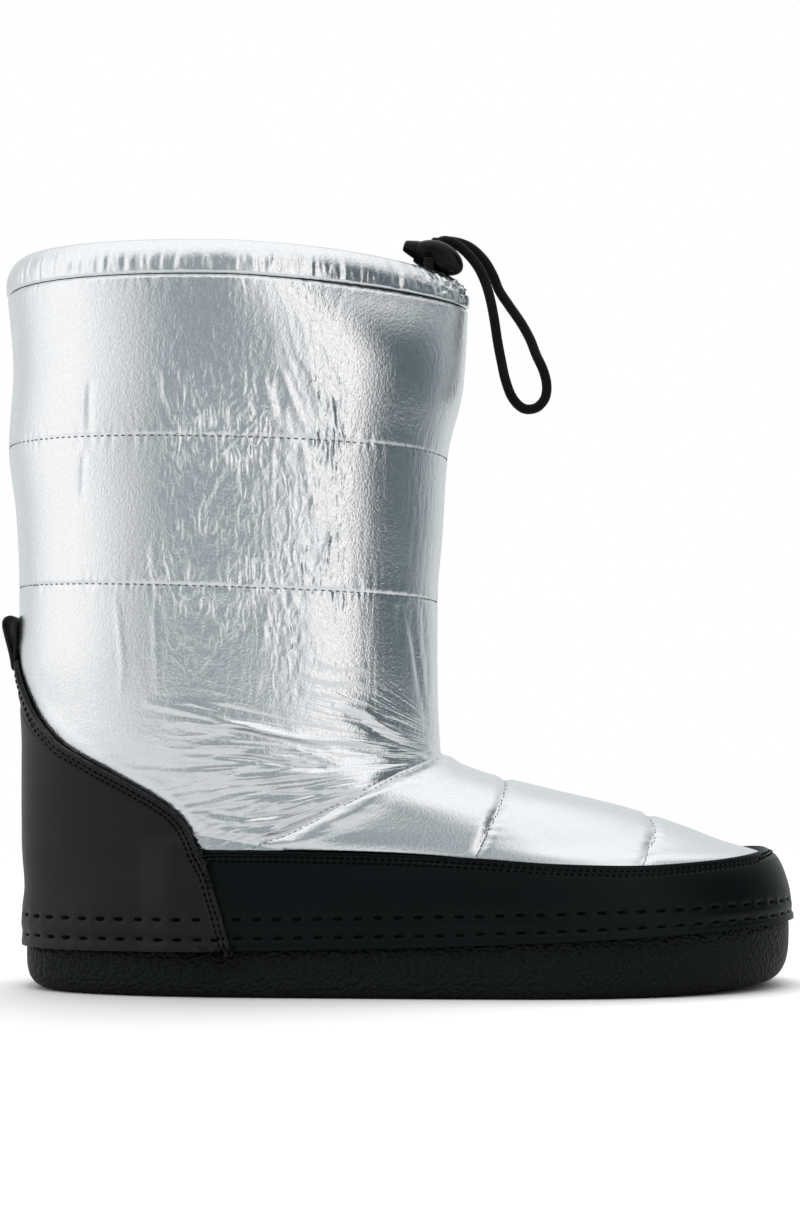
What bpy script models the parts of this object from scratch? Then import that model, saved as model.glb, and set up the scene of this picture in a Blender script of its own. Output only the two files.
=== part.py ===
"""Lined snow bootie for a right foot: a quilted padded shaft and vamp in one hollow wall, a leather mudguard
and heel counter wrapped round its foot, a moulded rubber outsole, a footbed, a gathered collar casing, and a
drawcord that runs through a spring cord lock.

Tables and named sizes are in millimetres and are scaled to metres where a mesh is made. x runs from the back
of the heel to the toe, z up from the floor, and y from the lateral side (negative) to the medial side.
"""

import math
from collections import namedtuple

import bmesh
import bpy
import numpy as np
from mathutils import Matrix, Vector

# Driving dimensions, in millimetres
MM = 0.001
SOLE_LENGTH = 280.0
SEAT_GAP = 0.3
WALL = 5.5
LEATHER = 1.8
QUILT_DEPTH = 1.5
TOE_REACH = 281.0
LOOP_REACH = 5.5
ORIGIN_X = (TOE_REACH - LOOP_REACH) / 2

# Sole: the feather line is the edge where the upper meets the rubber
HEEL_LINE_Z = 15.0
TOE_LINE_Z = 24.0
TOE_SPRING = 2.6
SPRING_START_X = 214.0
FOOTBED_THICKNESS = 5.0
FOOTBED_CLEARANCE = 0.5
TREAD_DEPTH = 3.0
TREAD_WIDTH = 4.5
TREAD_RIM = 15.0

# Waist of the foot, between heel and ball
WAIST_X = 105.0
WAIST_HALF_SPAN = 75.0
LATERAL_WAIST_SHARE = 0.35

# Mesh density
AROUND = 48
FINITE_STEP = 0.02
SMOOTH_ANGLE = math.radians(40)

# One row for each section of the padded upper, from the feather line to the collar seam. back and front are the
# section's ends at the heel and the toe, and rise is the power by which it climbs from one to the other. lateral
# and medial are its half widths at widest_x, and the rounds are the exponents of its superellipse halves. waist
# pinches the arch and swing turns the toe towards the medial side.
Section = namedtuple(
    "Section",
    "name back_x back_z front_x front_z rise widest_x lateral medial heel_round toe_round waist swing",
)
SECTIONS = [
    Section("feather line", 3.6, 15.4, 278.2, 24.4, 2.0, 188, 49.5, 50.5, 2.75, 2.30, 0.10, 7.0),
    Section("low side", 2.8, 25.0, 278.0, 30.5, 1.8, 187, 50.2, 51.2, 2.75, 2.30, 0.10, 7.0),
    Section("high side", 3.8, 36.0, 276.2, 39.0, 1.4, 184, 49.3, 50.3, 2.70, 2.25, 0.09, 7.0),
    Section("plug edge", 3.0, 46.5, 272.0, 46.6, 1.0, 178, 46.6, 47.5, 2.65, 2.15, 0.08, 6.5),
    Section("toe", 2.7, 52.0, 258.0, 50.8, 1.0, 166, 45.6, 46.4, 2.60, 2.05, 0.06, 5.0),
    Section("low vamp", 2.6, 58.5, 239.3, 58.0, 1.0, 150, 45.0, 45.6, 2.50, 2.00, 0.05, 3.5),
    Section("mid vamp", 2.5, 65.0, 217.0, 65.0, 1.0, 132, 44.6, 45.0, 2.45, 2.00, 0.03, 2.0),
    Section("high vamp", 2.5, 71.5, 192.0, 71.0, 1.0, 114, 44.3, 44.6, 2.40, 2.00, 0.02, 1.0),
    Section("instep", 2.5, 78.0, 167.0, 77.4, 1.0, 98, 44.3, 44.5, 2.30, 2.05, 0.01, 0.3),
    Section("crease foot", 2.5, 82.5, 156.2, 81.8, 1.0, 89, 44.5, 44.6, 2.25, 2.08, 0.0, 0.0),
    Section("ankle crease", 2.5, 87.0, 152.4, 85.6, 1.0, 84, 44.8, 44.8, 2.20, 2.10, 0.0, 0.0),
    Section("ankle", 2.5, 99.0, 151.4, 96.5, 1.0, 79, 45.5, 45.5, 2.20, 2.15, 0.0, 0.0),
    Section("counter top", 2.3, 119.0, 151.0, 115.5, 1.0, 77, 46.6, 46.6, 2.20, 2.20, 0.0, 0.0),
    Section("lower seam", 0.0, 143.3, 150.9, 138.5, 1.0, 76, 48.0, 48.0, 2.20, 2.20, 0.0, 0.0),
    Section("middle band", -1.3, 168.5, 152.9, 164.3, 1.0, 77, 50.0, 50.0, 2.20, 2.20, 0.0, 0.0),
    Section("upper seam", -4.0, 193.6, 154.5, 190.0, 1.0, 77, 52.0, 52.0, 2.20, 2.20, 0.0, 0.0),
    Section("upper band", -2.4, 221.0, 160.6, 217.5, 1.0, 79, 54.3, 54.3, 2.20, 2.20, 0.0, 0.0),
    Section("collar seam", -4.2, 247.5, 162.2, 244.8, 1.0, 79, 55.6, 55.6, 2.20, 2.20, 0.0, 0.0),
]
COLLAR_LEVEL = len(SECTIONS) - 1
QUILT_SEAMS = ("lower seam", "upper seam")
QUILT_LEVEL_SHARE = 0.22
ANKLE_LEVEL = 11
COLUMNS = Section._fields[1:]

# Outline of the heel counter in side view, from its narrow top down its front edge
OutlinePoint = namedtuple("OutlinePoint", "x z")
COUNTER_EDGE = [
    OutlinePoint(2.6, 118.5),
    OutlinePoint(3.4, 108.0),
    OutlinePoint(6.0, 98.5),
    OutlinePoint(11.5, 91.5),
    OutlinePoint(20.0, 85.5),
    OutlinePoint(35.0, 78.0),
    OutlinePoint(52.0, 69.0),
    OutlinePoint(60.5, 62.8),
    OutlinePoint(65.5, 56.0),
    OutlinePoint(69.0, 48.5),
    OutlinePoint(73.6, 37.6),
    OutlinePoint(79.6, 18.0),
]
# Top edge of the mudguard in side view, from the counter to the toe
MUDGUARD_EDGE = [
    OutlinePoint(60.0, 50.3),
    OutlinePoint(100.0, 50.0),
    OutlinePoint(137.0, 48.9),
    OutlinePoint(168.0, 47.2),
    OutlinePoint(192.0, 45.2),
    OutlinePoint(219.0, 44.3),
    OutlinePoint(243.0, 45.2),
    OutlinePoint(260.0, 46.6),
    OutlinePoint(276.0, 48.4),
]
OUTLINE_STEPS = 3
CUTTER_HALF_WIDTH = 90.0
CUTTER_MARGIN = 12.0

# Outer face of the leather over its height above the feather line: two rows of stitches pull it in, and its
# lower hem flares out as a flange over the rubber
HemRow = namedtuple("HemRow", "height swell")
LEATHER_HEM = [
    HemRow(0.0, 0.7),
    HemRow(2.6, 0.6),
    HemRow(4.4, -0.3),
    HemRow(7.6, 0.5),
    HemRow(10.8, -0.3),
    HemRow(14.5, 0.2),
]
LEATHER_RINGS = (2.0, 2.5, 3.0, 3.5, 4.0, 5.0, 6.0, 7.0, 8.0, 9.0, 10.0, 11.0, 12.3)

# Side of the outsole over its height: share of the rubber's height, and how far it lies inside the leather's edge
SidewallRow = namedtuple("SidewallRow", "height_share inset")
SIDEWALL = [
    SidewallRow(1.0, 0.3),
    SidewallRow(0.93, 0.0),
    SidewallRow(0.60, 0.1),
    SidewallRow(0.36, 0.4),
    SidewallRow(0.17, 1.8),
    SidewallRow(0.05, 4.7),
    SidewallRow(0.0, 9.0),
]
SIDEWALL_REACH = -1.2
HEEL_TREAD_X = (22.0, 35.0, 48.0, 61.0, 74.0)
FOREFOOT_TREAD_X = (126.0, 140.0, 154.0, 168.0, 182.0, 196.0, 210.0, 224.0)

# Gathered collar casing: its section, outwards from the shaft's skin and upwards from the collar seam. Where the
# drawcord cinches it, at the front, it leans inwards and bunches up.
CasingPoint = namedtuple("CasingPoint", "out up_share bunch_share")
CASING_SECTION = [
    CasingPoint(-0.3, 0.0, 0.0),
    CasingPoint(0.6, 0.22, 0.0),
    CasingPoint(0.5, 0.48, 0.0),
    CasingPoint(-0.7, 0.75, 0.0),
    CasingPoint(-2.5, 0.93, 0.0),
    CasingPoint(-4.8, 1.0, 0.3),
    CasingPoint(-7.0, 0.93, 0.8),
    CasingPoint(-8.2, 0.70, 1.0),
    CasingPoint(-8.0, 0.30, 0.8),
    CasingPoint(-6.4, 0.0, 0.0),
]
CASING_HEIGHT = 12.6
CASING_LEAN = 0.8
CINCH_LEAN = 5.0
CINCH_BUNCH = 2.6
CINCH_FLAT = math.radians(8)
CINCH_SPAN = math.radians(62)

# Cord lock on the front of the collar, its plunger pointing back over the opening. Its slot is rolled away from
# the lateral side, so that the strands leave it on the far side of its top.
LOCK_CENTRE = Vector((150.9, -3.0, 263.6))
LOCK_TILT = math.radians(19)
LOCK_ROLL = math.radians(-35)
LOCK_HALF_LENGTH = 10.2
LOCK_HALF_WIDTH = 6.2
LOCK_HALF_HEIGHT = 5.0
LOCK_FLAT_X = -7.8
LOCK_BEND = 0.012
LOCK_BORE_RADIUS = 3.6
LOCK_BORE_END_X = 5.4
LOCK_SLOT_X = -2.6
LOCK_SLOT_LENGTH = 4.6
LOCK_SLOT_WIDTH = 8.9
PLUNGER_RADIUS = 3.3
PLUNGER_TIP_RADIUS = 2.1
PLUNGER_TIP_X = -12.8
PLUNGER_END_X = 1.0

# Drawcord: two strands come up from the casing, pass the lock's slot side by side, and hang in one loop in front
# of the shaft
CORD_DIAMETER = 3.6
STRAND_OFFSET = 2.25
CORD_ENTRY = 4.4
CORD_SPACING = 4.0
LEAD_FOOT_Z = 257.95
RoutePoint = namedtuple("RoutePoint", "x y z")
CORD_ROUTE = [
    RoutePoint(151.0, 1.0, 269.6),
    RoutePoint(154.0, 1.8, 270.6),
    RoutePoint(158.0, 2.0, 269.2),
    RoutePoint(162.3, 2.0, 265.6),
    RoutePoint(166.0, 2.0, 260.8),
    RoutePoint(168.6, 2.0, 255.2),
    RoutePoint(170.4, 2.1, 249.0),
    RoutePoint(171.8, 2.3, 241.8),
    RoutePoint(172.9, 2.5, 234.6),
    RoutePoint(174.3, 2.7, 227.2),
    RoutePoint(175.9, 2.8, 220.0),
    RoutePoint(178.4, 2.9, 213.6),
    RoutePoint(182.4, 3.0, 209.7),
    RoutePoint(187.0, 3.2, 209.9),
    RoutePoint(190.2, 3.4, 213.2),
    RoutePoint(191.0, 3.6, 218.0),
    RoutePoint(189.8, 3.9, 223.6),
    RoutePoint(187.2, 4.3, 229.4),
    RoutePoint(185.0, 4.8, 235.2),
    RoutePoint(181.8, 5.4, 241.2),
    RoutePoint(178.2, 5.8, 247.2),
    RoutePoint(174.4, 6.0, 253.0),
    RoutePoint(170.4, 6.0, 258.4),
    RoutePoint(165.4, 6.0, 263.4),
    RoutePoint(160.6, 5.9, 267.6),
    RoutePoint(156.0, 5.6, 270.0),
    RoutePoint(152.4, 4.8, 270.2),
]

# Pull loop: a folded tape that stands off the top of the counter, seen from the side
LOOP_TAPE = 1.2
LOOP_WIDTH = 13.0
LOOP_TOP_RADIUS = 2.4
LOOP_TOP = OutlinePoint(-3.1, 131.0)
LOOP_PINCH = OutlinePoint(-1.3, 120.5)
LOOP_TAIL = OutlinePoint(-1.0, 107.0)
LOOP_ARC_STEPS = 8

Finish = namedtuple("Finish", "color roughness metallic")
FINISHES = {
    "silver_quilt": Finish((0.78, 0.80, 0.82), 0.28, 1.0),
    "black_leather": Finish((0.012, 0.013, 0.015), 0.45, 0.0),
    "black_rubber": Finish((0.014, 0.014, 0.015), 0.6, 0.0),
    "grey_felt": Finish((0.30, 0.30, 0.31), 0.9, 0.0),
    "black_cord": Finish((0.01, 0.01, 0.01), 0.8, 0.0),
    "black_plastic": Finish((0.013, 0.013, 0.014), 0.35, 0.0),
}


# Curves through named points


def monotone_track(knots, values):
    """A smooth curve through the values that never overshoots between two knots."""
    knots = np.asarray(knots, float)
    values = np.asarray(values, float)
    steps = np.diff(knots)
    rates = np.diff(values) / steps
    slopes = np.zeros_like(values)
    slopes[0], slopes[-1] = rates[0], rates[-1]
    for i in range(1, len(values) - 1):
        if rates[i - 1] * rates[i] > 0:
            before, after = 2 * steps[i] + steps[i - 1], steps[i] + 2 * steps[i - 1]
            slopes[i] = (before + after) / (before / rates[i - 1] + after / rates[i])

    def track(place):
        i = int(np.clip(np.searchsorted(knots, place, side="right") - 1, 0, len(steps) - 1))
        t = (place - knots[i]) / steps[i]
        h = steps[i]
        return (
            (1 + 2 * t) * (1 - t) ** 2 * values[i]
            + t * (1 - t) ** 2 * h * slopes[i]
            + t * t * (3 - 2 * t) * values[i + 1]
            + t * t * (t - 1) * h * slopes[i + 1]
        )

    return track


def smooth_path(points, steps):
    """Catmull-Rom points through the given ones, with this many steps between each two."""
    points = [Vector(p) for p in points]
    ends = [2 * points[0] - points[1], *points, 2 * points[-1] - points[-2]]
    path = []
    for a, b, c, d in zip(ends, ends[1:], ends[2:], ends[3:]):
        for step in range(steps):
            t = step / steps
            path.append(
                0.5 * (2 * b + t * (c - a) + t * t * (2 * a - 5 * b + 4 * c - d)
                       + t ** 3 * (3 * b - a - 3 * c + d))
            )
    return [*path, points[-1]]


# The upper's own function

LEVELS = range(len(SECTIONS))
TRACKS = {name: monotone_track(LEVELS, [getattr(s, name) for s in SECTIONS]) for name in COLUMNS}
SEAM_LEVELS = [i for i, s in enumerate(SECTIONS) if s.name in QUILT_SEAMS]
HEM_SWELL = monotone_track([r.height for r in LEATHER_HEM], [r.swell for r in LEATHER_HEM])


def signed_power(value, exponent):
    return math.copysign(abs(value) ** exponent, value)


def skin_point(level, angle):
    """A point of the upper's outer skin. angle 0 is the toe, and a quarter turn is the lateral side."""
    row = Section("", *(TRACKS[name](level) for name in COLUMNS))
    across, along = math.sin(angle), math.cos(angle)
    exponent = 2 / (row.toe_round if along >= 0 else row.heel_round)
    reach = row.front_x - row.widest_x if along >= 0 else row.widest_x - row.back_x
    x = row.widest_x + reach * signed_power(along, exponent)
    half_width = row.lateral if across >= 0 else row.medial
    nearness = max(0.0, 1 - abs(x - WAIST_X) / WAIST_HALF_SPAN)
    pinch = row.waist * math.sin(math.pi / 2 * nearness) ** 2
    pinch *= LATERAL_WAIST_SHARE if across >= 0 else 1
    y = -half_width * signed_power(across, exponent) * (1 - pinch)
    if along > 0:
        y += row.swing * ((x - row.widest_x) / reach) ** 2
    along_share = max(0.0, (x - row.back_x) / (row.front_x - row.back_x))
    return Vector((x, y, row.back_z + (row.front_z - row.back_z) * along_share ** row.rise))


def skin_normal(level, angle):
    """The outward direction of the skin there."""
    low = max(level - FINITE_STEP, 0.0)
    high = min(level + FINITE_STEP, COLLAR_LEVEL)
    upwards = skin_point(high, angle) - skin_point(low, angle)
    around = skin_point(level, angle + FINITE_STEP) - skin_point(level, angle - FINITE_STEP)
    return upwards.cross(around).normalized()


ANGLES = [2 * math.pi * i / AROUND for i in range(AROUND)]


def skin_ring(level, offset=0.0):
    """A closed ring of points on the skin, moved outwards by offset."""
    return [skin_point(level, a) + offset * skin_normal(level, a) for a in ANGLES]


def feather_line_z(x):
    return HEEL_LINE_Z + (TOE_LINE_Z - HEEL_LINE_Z) * (x / SOLE_LENGTH) ** 2


def plan_ring(offset, height):
    """The upper's lowest ring, moved outwards in plan by offset, with z given by height(x)."""
    ring = []
    for angle in ANGLES:
        normal = skin_normal(0.0, angle)
        flat = Vector((normal.x, normal.y, 0)).normalized()
        point = skin_point(0.0, angle) + offset * flat
        ring.append(Vector((point.x, point.y, height(point.x))))
    return ring


# Mesh helpers

PARTS = bpy.data.collections.new("lined_bootie")
CUTTERS = bpy.data.collections.new("cutters")


def material(name):
    finish = FINISHES[name]
    made = bpy.data.materials.get(name) or bpy.data.materials.new(name)
    made.use_nodes = True
    shader = made.node_tree.nodes["Principled BSDF"]
    shader.inputs["Base Color"].default_value = (*finish.color, 1)
    shader.inputs["Roughness"].default_value = finish.roughness
    shader.inputs["Metallic"].default_value = finish.metallic
    made.diffuse_color = (*finish.color, 1)
    return made


def add_part(name, mesh, finish, root):
    """A named sub-part, hung on the empty at the part's origin."""
    mesh.materials.append(material(finish))
    mesh.shade_smooth()
    mesh.set_sharp_from_angle(angle=SMOOTH_ANGLE)
    part = bpy.data.objects.new(name, mesh)
    PARTS.objects.link(part)
    part.parent = root
    return part


def mesh_of(name, shape):
    """A bmesh in millimetres made a mesh in metres, with its faces turned outwards."""
    bmesh.ops.recalc_face_normals(shape, faces=shape.faces)
    bmesh.ops.scale(shape, vec=(MM, MM, MM), verts=shape.verts)
    mesh = bpy.data.meshes.new(name)
    shape.to_mesh(mesh)
    shape.free()
    return mesh


def add_cutter(name, shape, root):
    cutter = bpy.data.objects.new(name, mesh_of(name, shape))
    cutter.hide_render = True
    cutter.display_type = "WIRE"
    CUTTERS.objects.link(cutter)
    cutter.parent = root
    return cutter


def cut(part, cutter, operation):
    boolean = part.modifiers.new(cutter.name, "BOOLEAN")
    boolean.object = cutter
    boolean.operation = operation
    boolean.solver = "EXACT"


def bridge(shape, lower, upper):
    """Quads between two closed rings of vertices."""
    for i in range(len(lower)):
        j = (i + 1) % len(lower)
        shape.faces.new((lower[i], lower[j], upper[j], upper[i]))


def loft(rings, closed):
    """A skin over rings of points; a closed one runs on from the last ring to the first, as a tyre does."""
    shape = bmesh.new()
    rows = [[shape.verts.new(p) for p in ring] for ring in rings]
    for lower, upper in zip(rows, rows[1:]):
        bridge(shape, lower, upper)
    if closed:
        bridge(shape, rows[-1], rows[0])
    return shape, rows


def ladder_cap(shape, ring):
    """Closes a ring with rungs from its lateral to its medial half."""
    half = len(ring) // 2
    shape.faces.new((ring[0], ring[1], ring[-1]))
    for i in range(1, half - 1):
        shape.faces.new((ring[i], ring[i + 1], ring[-i - 1], ring[-i]))
    shape.faces.new((ring[half - 1], ring[half], ring[half + 1]))


def capped_loft(rings):
    """A solid over rings of points, closed at its first and last ring."""
    shape, rows = loft(rings, closed=False)
    ladder_cap(shape, rows[0])
    ladder_cap(shape, rows[-1])
    return shape


def prism(outline, half_width):
    """A side-view outline of x and z, pulled out to both sides."""
    shape = bmesh.new()
    face = shape.faces.new([shape.verts.new((p[0], -half_width, p[1])) for p in outline])
    pulled = bmesh.ops.extrude_face_region(shape, geom=[face])
    moved = [v for v in pulled["geom"] if isinstance(v, bmesh.types.BMVert)]
    bmesh.ops.translate(shape, vec=(0, 2 * half_width, 0), verts=moved)
    return shape


def box(shape, low, high):
    """A box between two corners, added to a bmesh."""
    low, high = Vector(low), Vector(high)
    size = Matrix.Diagonal((*(high - low), 1))
    bmesh.ops.create_cube(shape, size=1, matrix=Matrix.Translation((low + high) / 2) @ size)


# Sole


def sole_bottom_z(x):
    """The floor side of the rubber: flat, then springing up towards the toe."""
    past = max(0.0, (x - SPRING_START_X) / (SOLE_LENGTH - SPRING_START_X))
    return TOE_SPRING * past ** 2


def outsole(root):
    edge = SEAT_GAP + LEATHER + SIDEWALL_REACH
    rings = []
    for row in SIDEWALL:
        def height(x, share=row.height_share):
            low, high = sole_bottom_z(x), feather_line_z(x)
            return low + (high - low) * share
        rings.append(plan_ring(edge - row.inset, height))
    part = add_part("outsole", mesh_of("outsole", capped_loft(rings)), "black_rubber", root)
    cut(part, tread_grooves(root), "DIFFERENCE")


def tread_grooves(root):
    """Straight grooves across the heel and the forefoot, inside an uncut rim."""
    outline = plan_ring(0.0, sole_bottom_z)
    half = AROUND // 2
    lateral, medial = outline[half::-1], [outline[-i] for i in range(half, 0, -1)] + [outline[0]]
    shape = bmesh.new()
    for x in (*HEEL_TREAD_X, *FOREFOOT_TREAD_X):
        low_y = np.interp(x, [p.x for p in lateral], [p.y for p in lateral]) + TREAD_RIM
        high_y = np.interp(x, [p.x for p in medial], [p.y for p in medial]) - TREAD_RIM
        floor = sole_bottom_z(x)
        box(
            shape,
            (x - TREAD_WIDTH / 2, low_y, floor - TREAD_DEPTH),
            (x + TREAD_WIDTH / 2, high_y, floor + TREAD_DEPTH),
        )
    return add_cutter("tread_grooves", shape, root)


def footbed(root):
    inset = -(WALL + FOOTBED_CLEARANCE)
    rings = [
        plan_ring(inset, lambda x: feather_line_z(x) + SEAT_GAP),
        plan_ring(inset, lambda x: feather_line_z(x) + SEAT_GAP + FOOTBED_THICKNESS),
    ]
    add_part("footbed", mesh_of("footbed", capped_loft(rings)), "grey_felt", root)


# Upper


def quilt_offset(level):
    """The seams of the quilted shaft lie below its puffed bands."""
    nearest = min(abs(level - seam) for seam in SEAM_LEVELS)
    return -QUILT_DEPTH * max(0.0, 1 - nearest / QUILT_LEVEL_SHARE)


def outer_levels():
    """Rings on every section, between them round the foot, and at the edges of each quilting seam."""
    levels = {float(i) for i in LEVELS} | {i + 0.5 for i in range(ANKLE_LEVEL)}
    for seam in SEAM_LEVELS:
        levels |= {seam - QUILT_LEVEL_SHARE, seam + QUILT_LEVEL_SHARE}
    return sorted(levels)


def upper(root):
    outside = [skin_ring(level, quilt_offset(level)) for level in outer_levels()]
    inside = [skin_ring(level, -WALL) for level in reversed(LEVELS)]
    for ring, source in ((inside[0], outside[-1]), (inside[-1], outside[0])):
        for point, edge in zip(ring, source):
            point.z = edge.z
    shape, _ = loft([*outside, *inside], closed=True)
    add_part("upper", mesh_of("upper", shape), "silver_quilt", root)


def leather_wrap():
    """A band of leather all round the foot of the upper, from which the counter and the mudguard are cut."""
    foot = SECTIONS[0]
    per_level = SECTIONS[1].back_z - foot.back_z
    levels = [row.height / per_level for row in LEATHER_HEM]
    swells = [row.swell for row in LEATHER_HEM]
    levels += LEATHER_RINGS
    swells += [0.0] * len(LEATHER_RINGS)
    inside = [skin_ring(level, SEAT_GAP) for level in levels]
    outside = [skin_ring(level, SEAT_GAP + LEATHER + swell) for level, swell in zip(levels, swells)]
    for ring in (inside[0], outside[0]):
        for point in ring:
            point.z = feather_line_z(point.x) + SEAT_GAP
    shape, _ = loft([*outside, *reversed(inside)], closed=True)
    return shape


def counter_edge_path(shift):
    return smooth_path([(p.x + shift, 0, p.z) for p in COUNTER_EDGE], OUTLINE_STEPS)


def heel_counter(root):
    edge = [(p.x, p.z) for p in counter_edge_path(0.0)]
    behind, below = -CUTTER_MARGIN, 0.0
    outline = [*edge, (COUNTER_EDGE[-1].x, below), (behind, below), (behind, COUNTER_EDGE[0].z)]
    part = add_part("heel_counter", mesh_of("heel_counter", leather_wrap()), "black_leather", root)
    cut(part, add_cutter("counter_outline", prism(outline, CUTTER_HALF_WIDTH), root), "INTERSECT")


def mudguard(root):
    join = [(p.x, p.z) for p in counter_edge_path(SEAT_GAP)]
    top = [(p.x, p.z) for p in smooth_path([(p.x, 0, p.z) for p in MUDGUARD_EDGE], OUTLINE_STEPS)]
    top_of_join = top[0][1]
    join = [p for p in join if p[1] < top_of_join]
    start = (np.interp(top_of_join, [p[1] for p in join[::-1]], [p[0] for p in join[::-1]]), top_of_join)
    ahead, below = SOLE_LENGTH + CUTTER_MARGIN, 0.0
    above = [p for p in top if p[0] > start[0]]
    outline = [*join[::-1], start, *above, (ahead, MUDGUARD_EDGE[-1].z), (ahead, below), (join[-1][0], below)]
    part = add_part("mudguard", mesh_of("mudguard", leather_wrap()), "black_leather", root)
    cut(part, add_cutter("mudguard_outline", prism(outline, CUTTER_HALF_WIDTH), root), "INTERSECT")


def pull_loop(root):
    """A tape folded into a teardrop, its two ends sewn together into a tail."""
    def tear(inset):
        radius = LOOP_TOP_RADIUS - inset
        arc = [math.pi * step / LOOP_ARC_STEPS for step in range(LOOP_ARC_STEPS + 1)]
        return [(LOOP_TOP.x - radius * math.cos(a), LOOP_TOP.z + radius * math.sin(a)) for a in arc]

    half_tape = LOOP_TAPE / 2
    outside = [
        (LOOP_TAIL.x - half_tape, LOOP_TAIL.z),
        (LOOP_PINCH.x - LOOP_TAPE, LOOP_PINCH.z),
        *tear(0.0),
        (LOOP_PINCH.x + half_tape, LOOP_PINCH.z),
        (LOOP_TAIL.x + half_tape, LOOP_TAIL.z),
    ]
    inside = [*tear(LOOP_TAPE), (LOOP_PINCH.x - half_tape / 2, LOOP_PINCH.z + 2 * LOOP_TAPE)]
    curve = bpy.data.curves.new("pull_loop", "CURVE")
    curve.dimensions = "2D"
    curve.fill_mode = "BOTH"
    curve.extrude = LOOP_WIDTH / 2 * MM
    for outline in (outside, inside):
        spline = curve.splines.new("POLY")
        spline.points.add(len(outline) - 1)
        for point, (x, z) in zip(spline.points, outline):
            point.co = (x * MM, z * MM, 0, 1)
        spline.use_cyclic_u = True
    curve.materials.append(material("black_leather"))
    part = bpy.data.objects.new("pull_loop", curve)
    part.rotation_euler.x = math.pi / 2
    PARTS.objects.link(part)
    part.parent = root


# Collar and drawcord


def cinch(angle):
    """How far the drawcord has pulled the casing in: fully under the cord lock, and not at all at the heel."""
    turn = min(angle, 2 * math.pi - angle)
    share = min(1.0, max(0.0, (CINCH_SPAN - turn) / (CINCH_SPAN - CINCH_FLAT)))
    return share * share * (3 - 2 * share)


def collar_casing(root):
    rings = []
    for point in CASING_SECTION:
        ring = []
        for angle in ANGLES:
            pull = cinch(angle)
            lean = CASING_LEAN + CINCH_LEAN * pull
            out = point.out - lean * point.up_share - CINCH_BUNCH * pull * point.bunch_share
            normal = skin_normal(COLLAR_LEVEL, angle)
            flat = Vector((normal.x, normal.y, 0)).normalized()
            lift = SEAT_GAP + CASING_HEIGHT * point.up_share
            ring.append(skin_point(COLLAR_LEVEL, angle) + out * flat + Vector((0, 0, lift)))
        rings.append(ring)
    shape, _ = loft(rings, closed=True)
    add_part("collar_casing", mesh_of("collar_casing", shape), "silver_quilt", root)


def lock_empty(root):
    """The cord lock's own frame: its x axis is the way that the plunger is pressed."""
    empty = bpy.data.objects.new("cord_lock_frame", None)
    PARTS.objects.link(empty)
    empty.location = LOCK_CENTRE * MM
    empty.rotation_euler = (LOCK_ROLL, LOCK_TILT, 0)
    empty.parent = root
    return empty


def cord_lock_body(frame):
    shape = bmesh.new()
    bmesh.ops.create_uvsphere(shape, u_segments=18, v_segments=12, radius=1)
    bmesh.ops.rotate(shape, cent=(0, 0, 0), matrix=Matrix.Rotation(math.pi / 2, 3, "Y"), verts=shape.verts)
    bmesh.ops.scale(shape, vec=(LOCK_HALF_LENGTH, LOCK_HALF_WIDTH, LOCK_HALF_HEIGHT), verts=shape.verts)
    everything = [*shape.verts, *shape.edges, *shape.faces]
    sliced = bmesh.ops.bisect_plane(
        shape, geom=everything, plane_co=(LOCK_FLAT_X, 0, 0), plane_no=(-1, 0, 0), clear_outer=True
    )
    rim = [e for e in sliced["geom_cut"] if isinstance(e, bmesh.types.BMEdge)]
    bmesh.ops.contextual_create(shape, geom=rim)
    for vert in shape.verts:
        vert.co.z -= LOCK_BEND * vert.co.x ** 2
    part = add_part("cord_lock_body", mesh_of("cord_lock_body", shape), "black_plastic", frame)
    bore = bmesh.new()
    bore_start = LOCK_FLAT_X - LOCK_HALF_LENGTH
    along = Matrix.Translation(((bore_start + LOCK_BORE_END_X) / 2, 0, 0)) @ Matrix.Rotation(math.pi / 2, 4, "Y")
    bmesh.ops.create_cone(
        bore, cap_ends=True, segments=20, radius1=LOCK_BORE_RADIUS, radius2=LOCK_BORE_RADIUS,
        depth=LOCK_BORE_END_X - bore_start, matrix=along,
    )
    cut(part, add_cutter("lock_bore", bore, frame), "DIFFERENCE")
    slot = bmesh.new()
    reach = 2 * LOCK_HALF_HEIGHT
    box(
        slot,
        (LOCK_SLOT_X - LOCK_SLOT_LENGTH / 2, -LOCK_SLOT_WIDTH / 2, -reach),
        (LOCK_SLOT_X + LOCK_SLOT_LENGTH / 2, LOCK_SLOT_WIDTH / 2, reach),
    )
    cut(part, add_cutter("lock_slot", slot, frame), "DIFFERENCE")


def cord_lock_plunger(frame):
    """A turned button that tapers to its tip, with a stem that slides in the lock's bore."""
    profile = [
        (PLUNGER_TIP_X, 0.0),
        (PLUNGER_TIP_X, PLUNGER_TIP_RADIUS - 0.5),
        (PLUNGER_TIP_X + 0.5, PLUNGER_TIP_RADIUS),
        (LOCK_FLAT_X - 0.3, PLUNGER_RADIUS),
        (PLUNGER_END_X, PLUNGER_RADIUS),
        (PLUNGER_END_X, 0.0),
    ]
    shape = bmesh.new()
    line = [shape.verts.new((x, 0, r)) for x, r in profile]
    edges = [shape.edges.new(pair) for pair in zip(line, line[1:])]
    bmesh.ops.spin(
        shape, geom=[*line, *edges], cent=(0, 0, 0), axis=(1, 0, 0), angle=2 * math.pi, steps=20, use_merge=True
    )
    bmesh.ops.remove_doubles(shape, verts=shape.verts, dist=0.01)
    add_part("cord_lock_plunger", mesh_of("cord_lock_plunger", shape), "black_plastic", frame)


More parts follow.
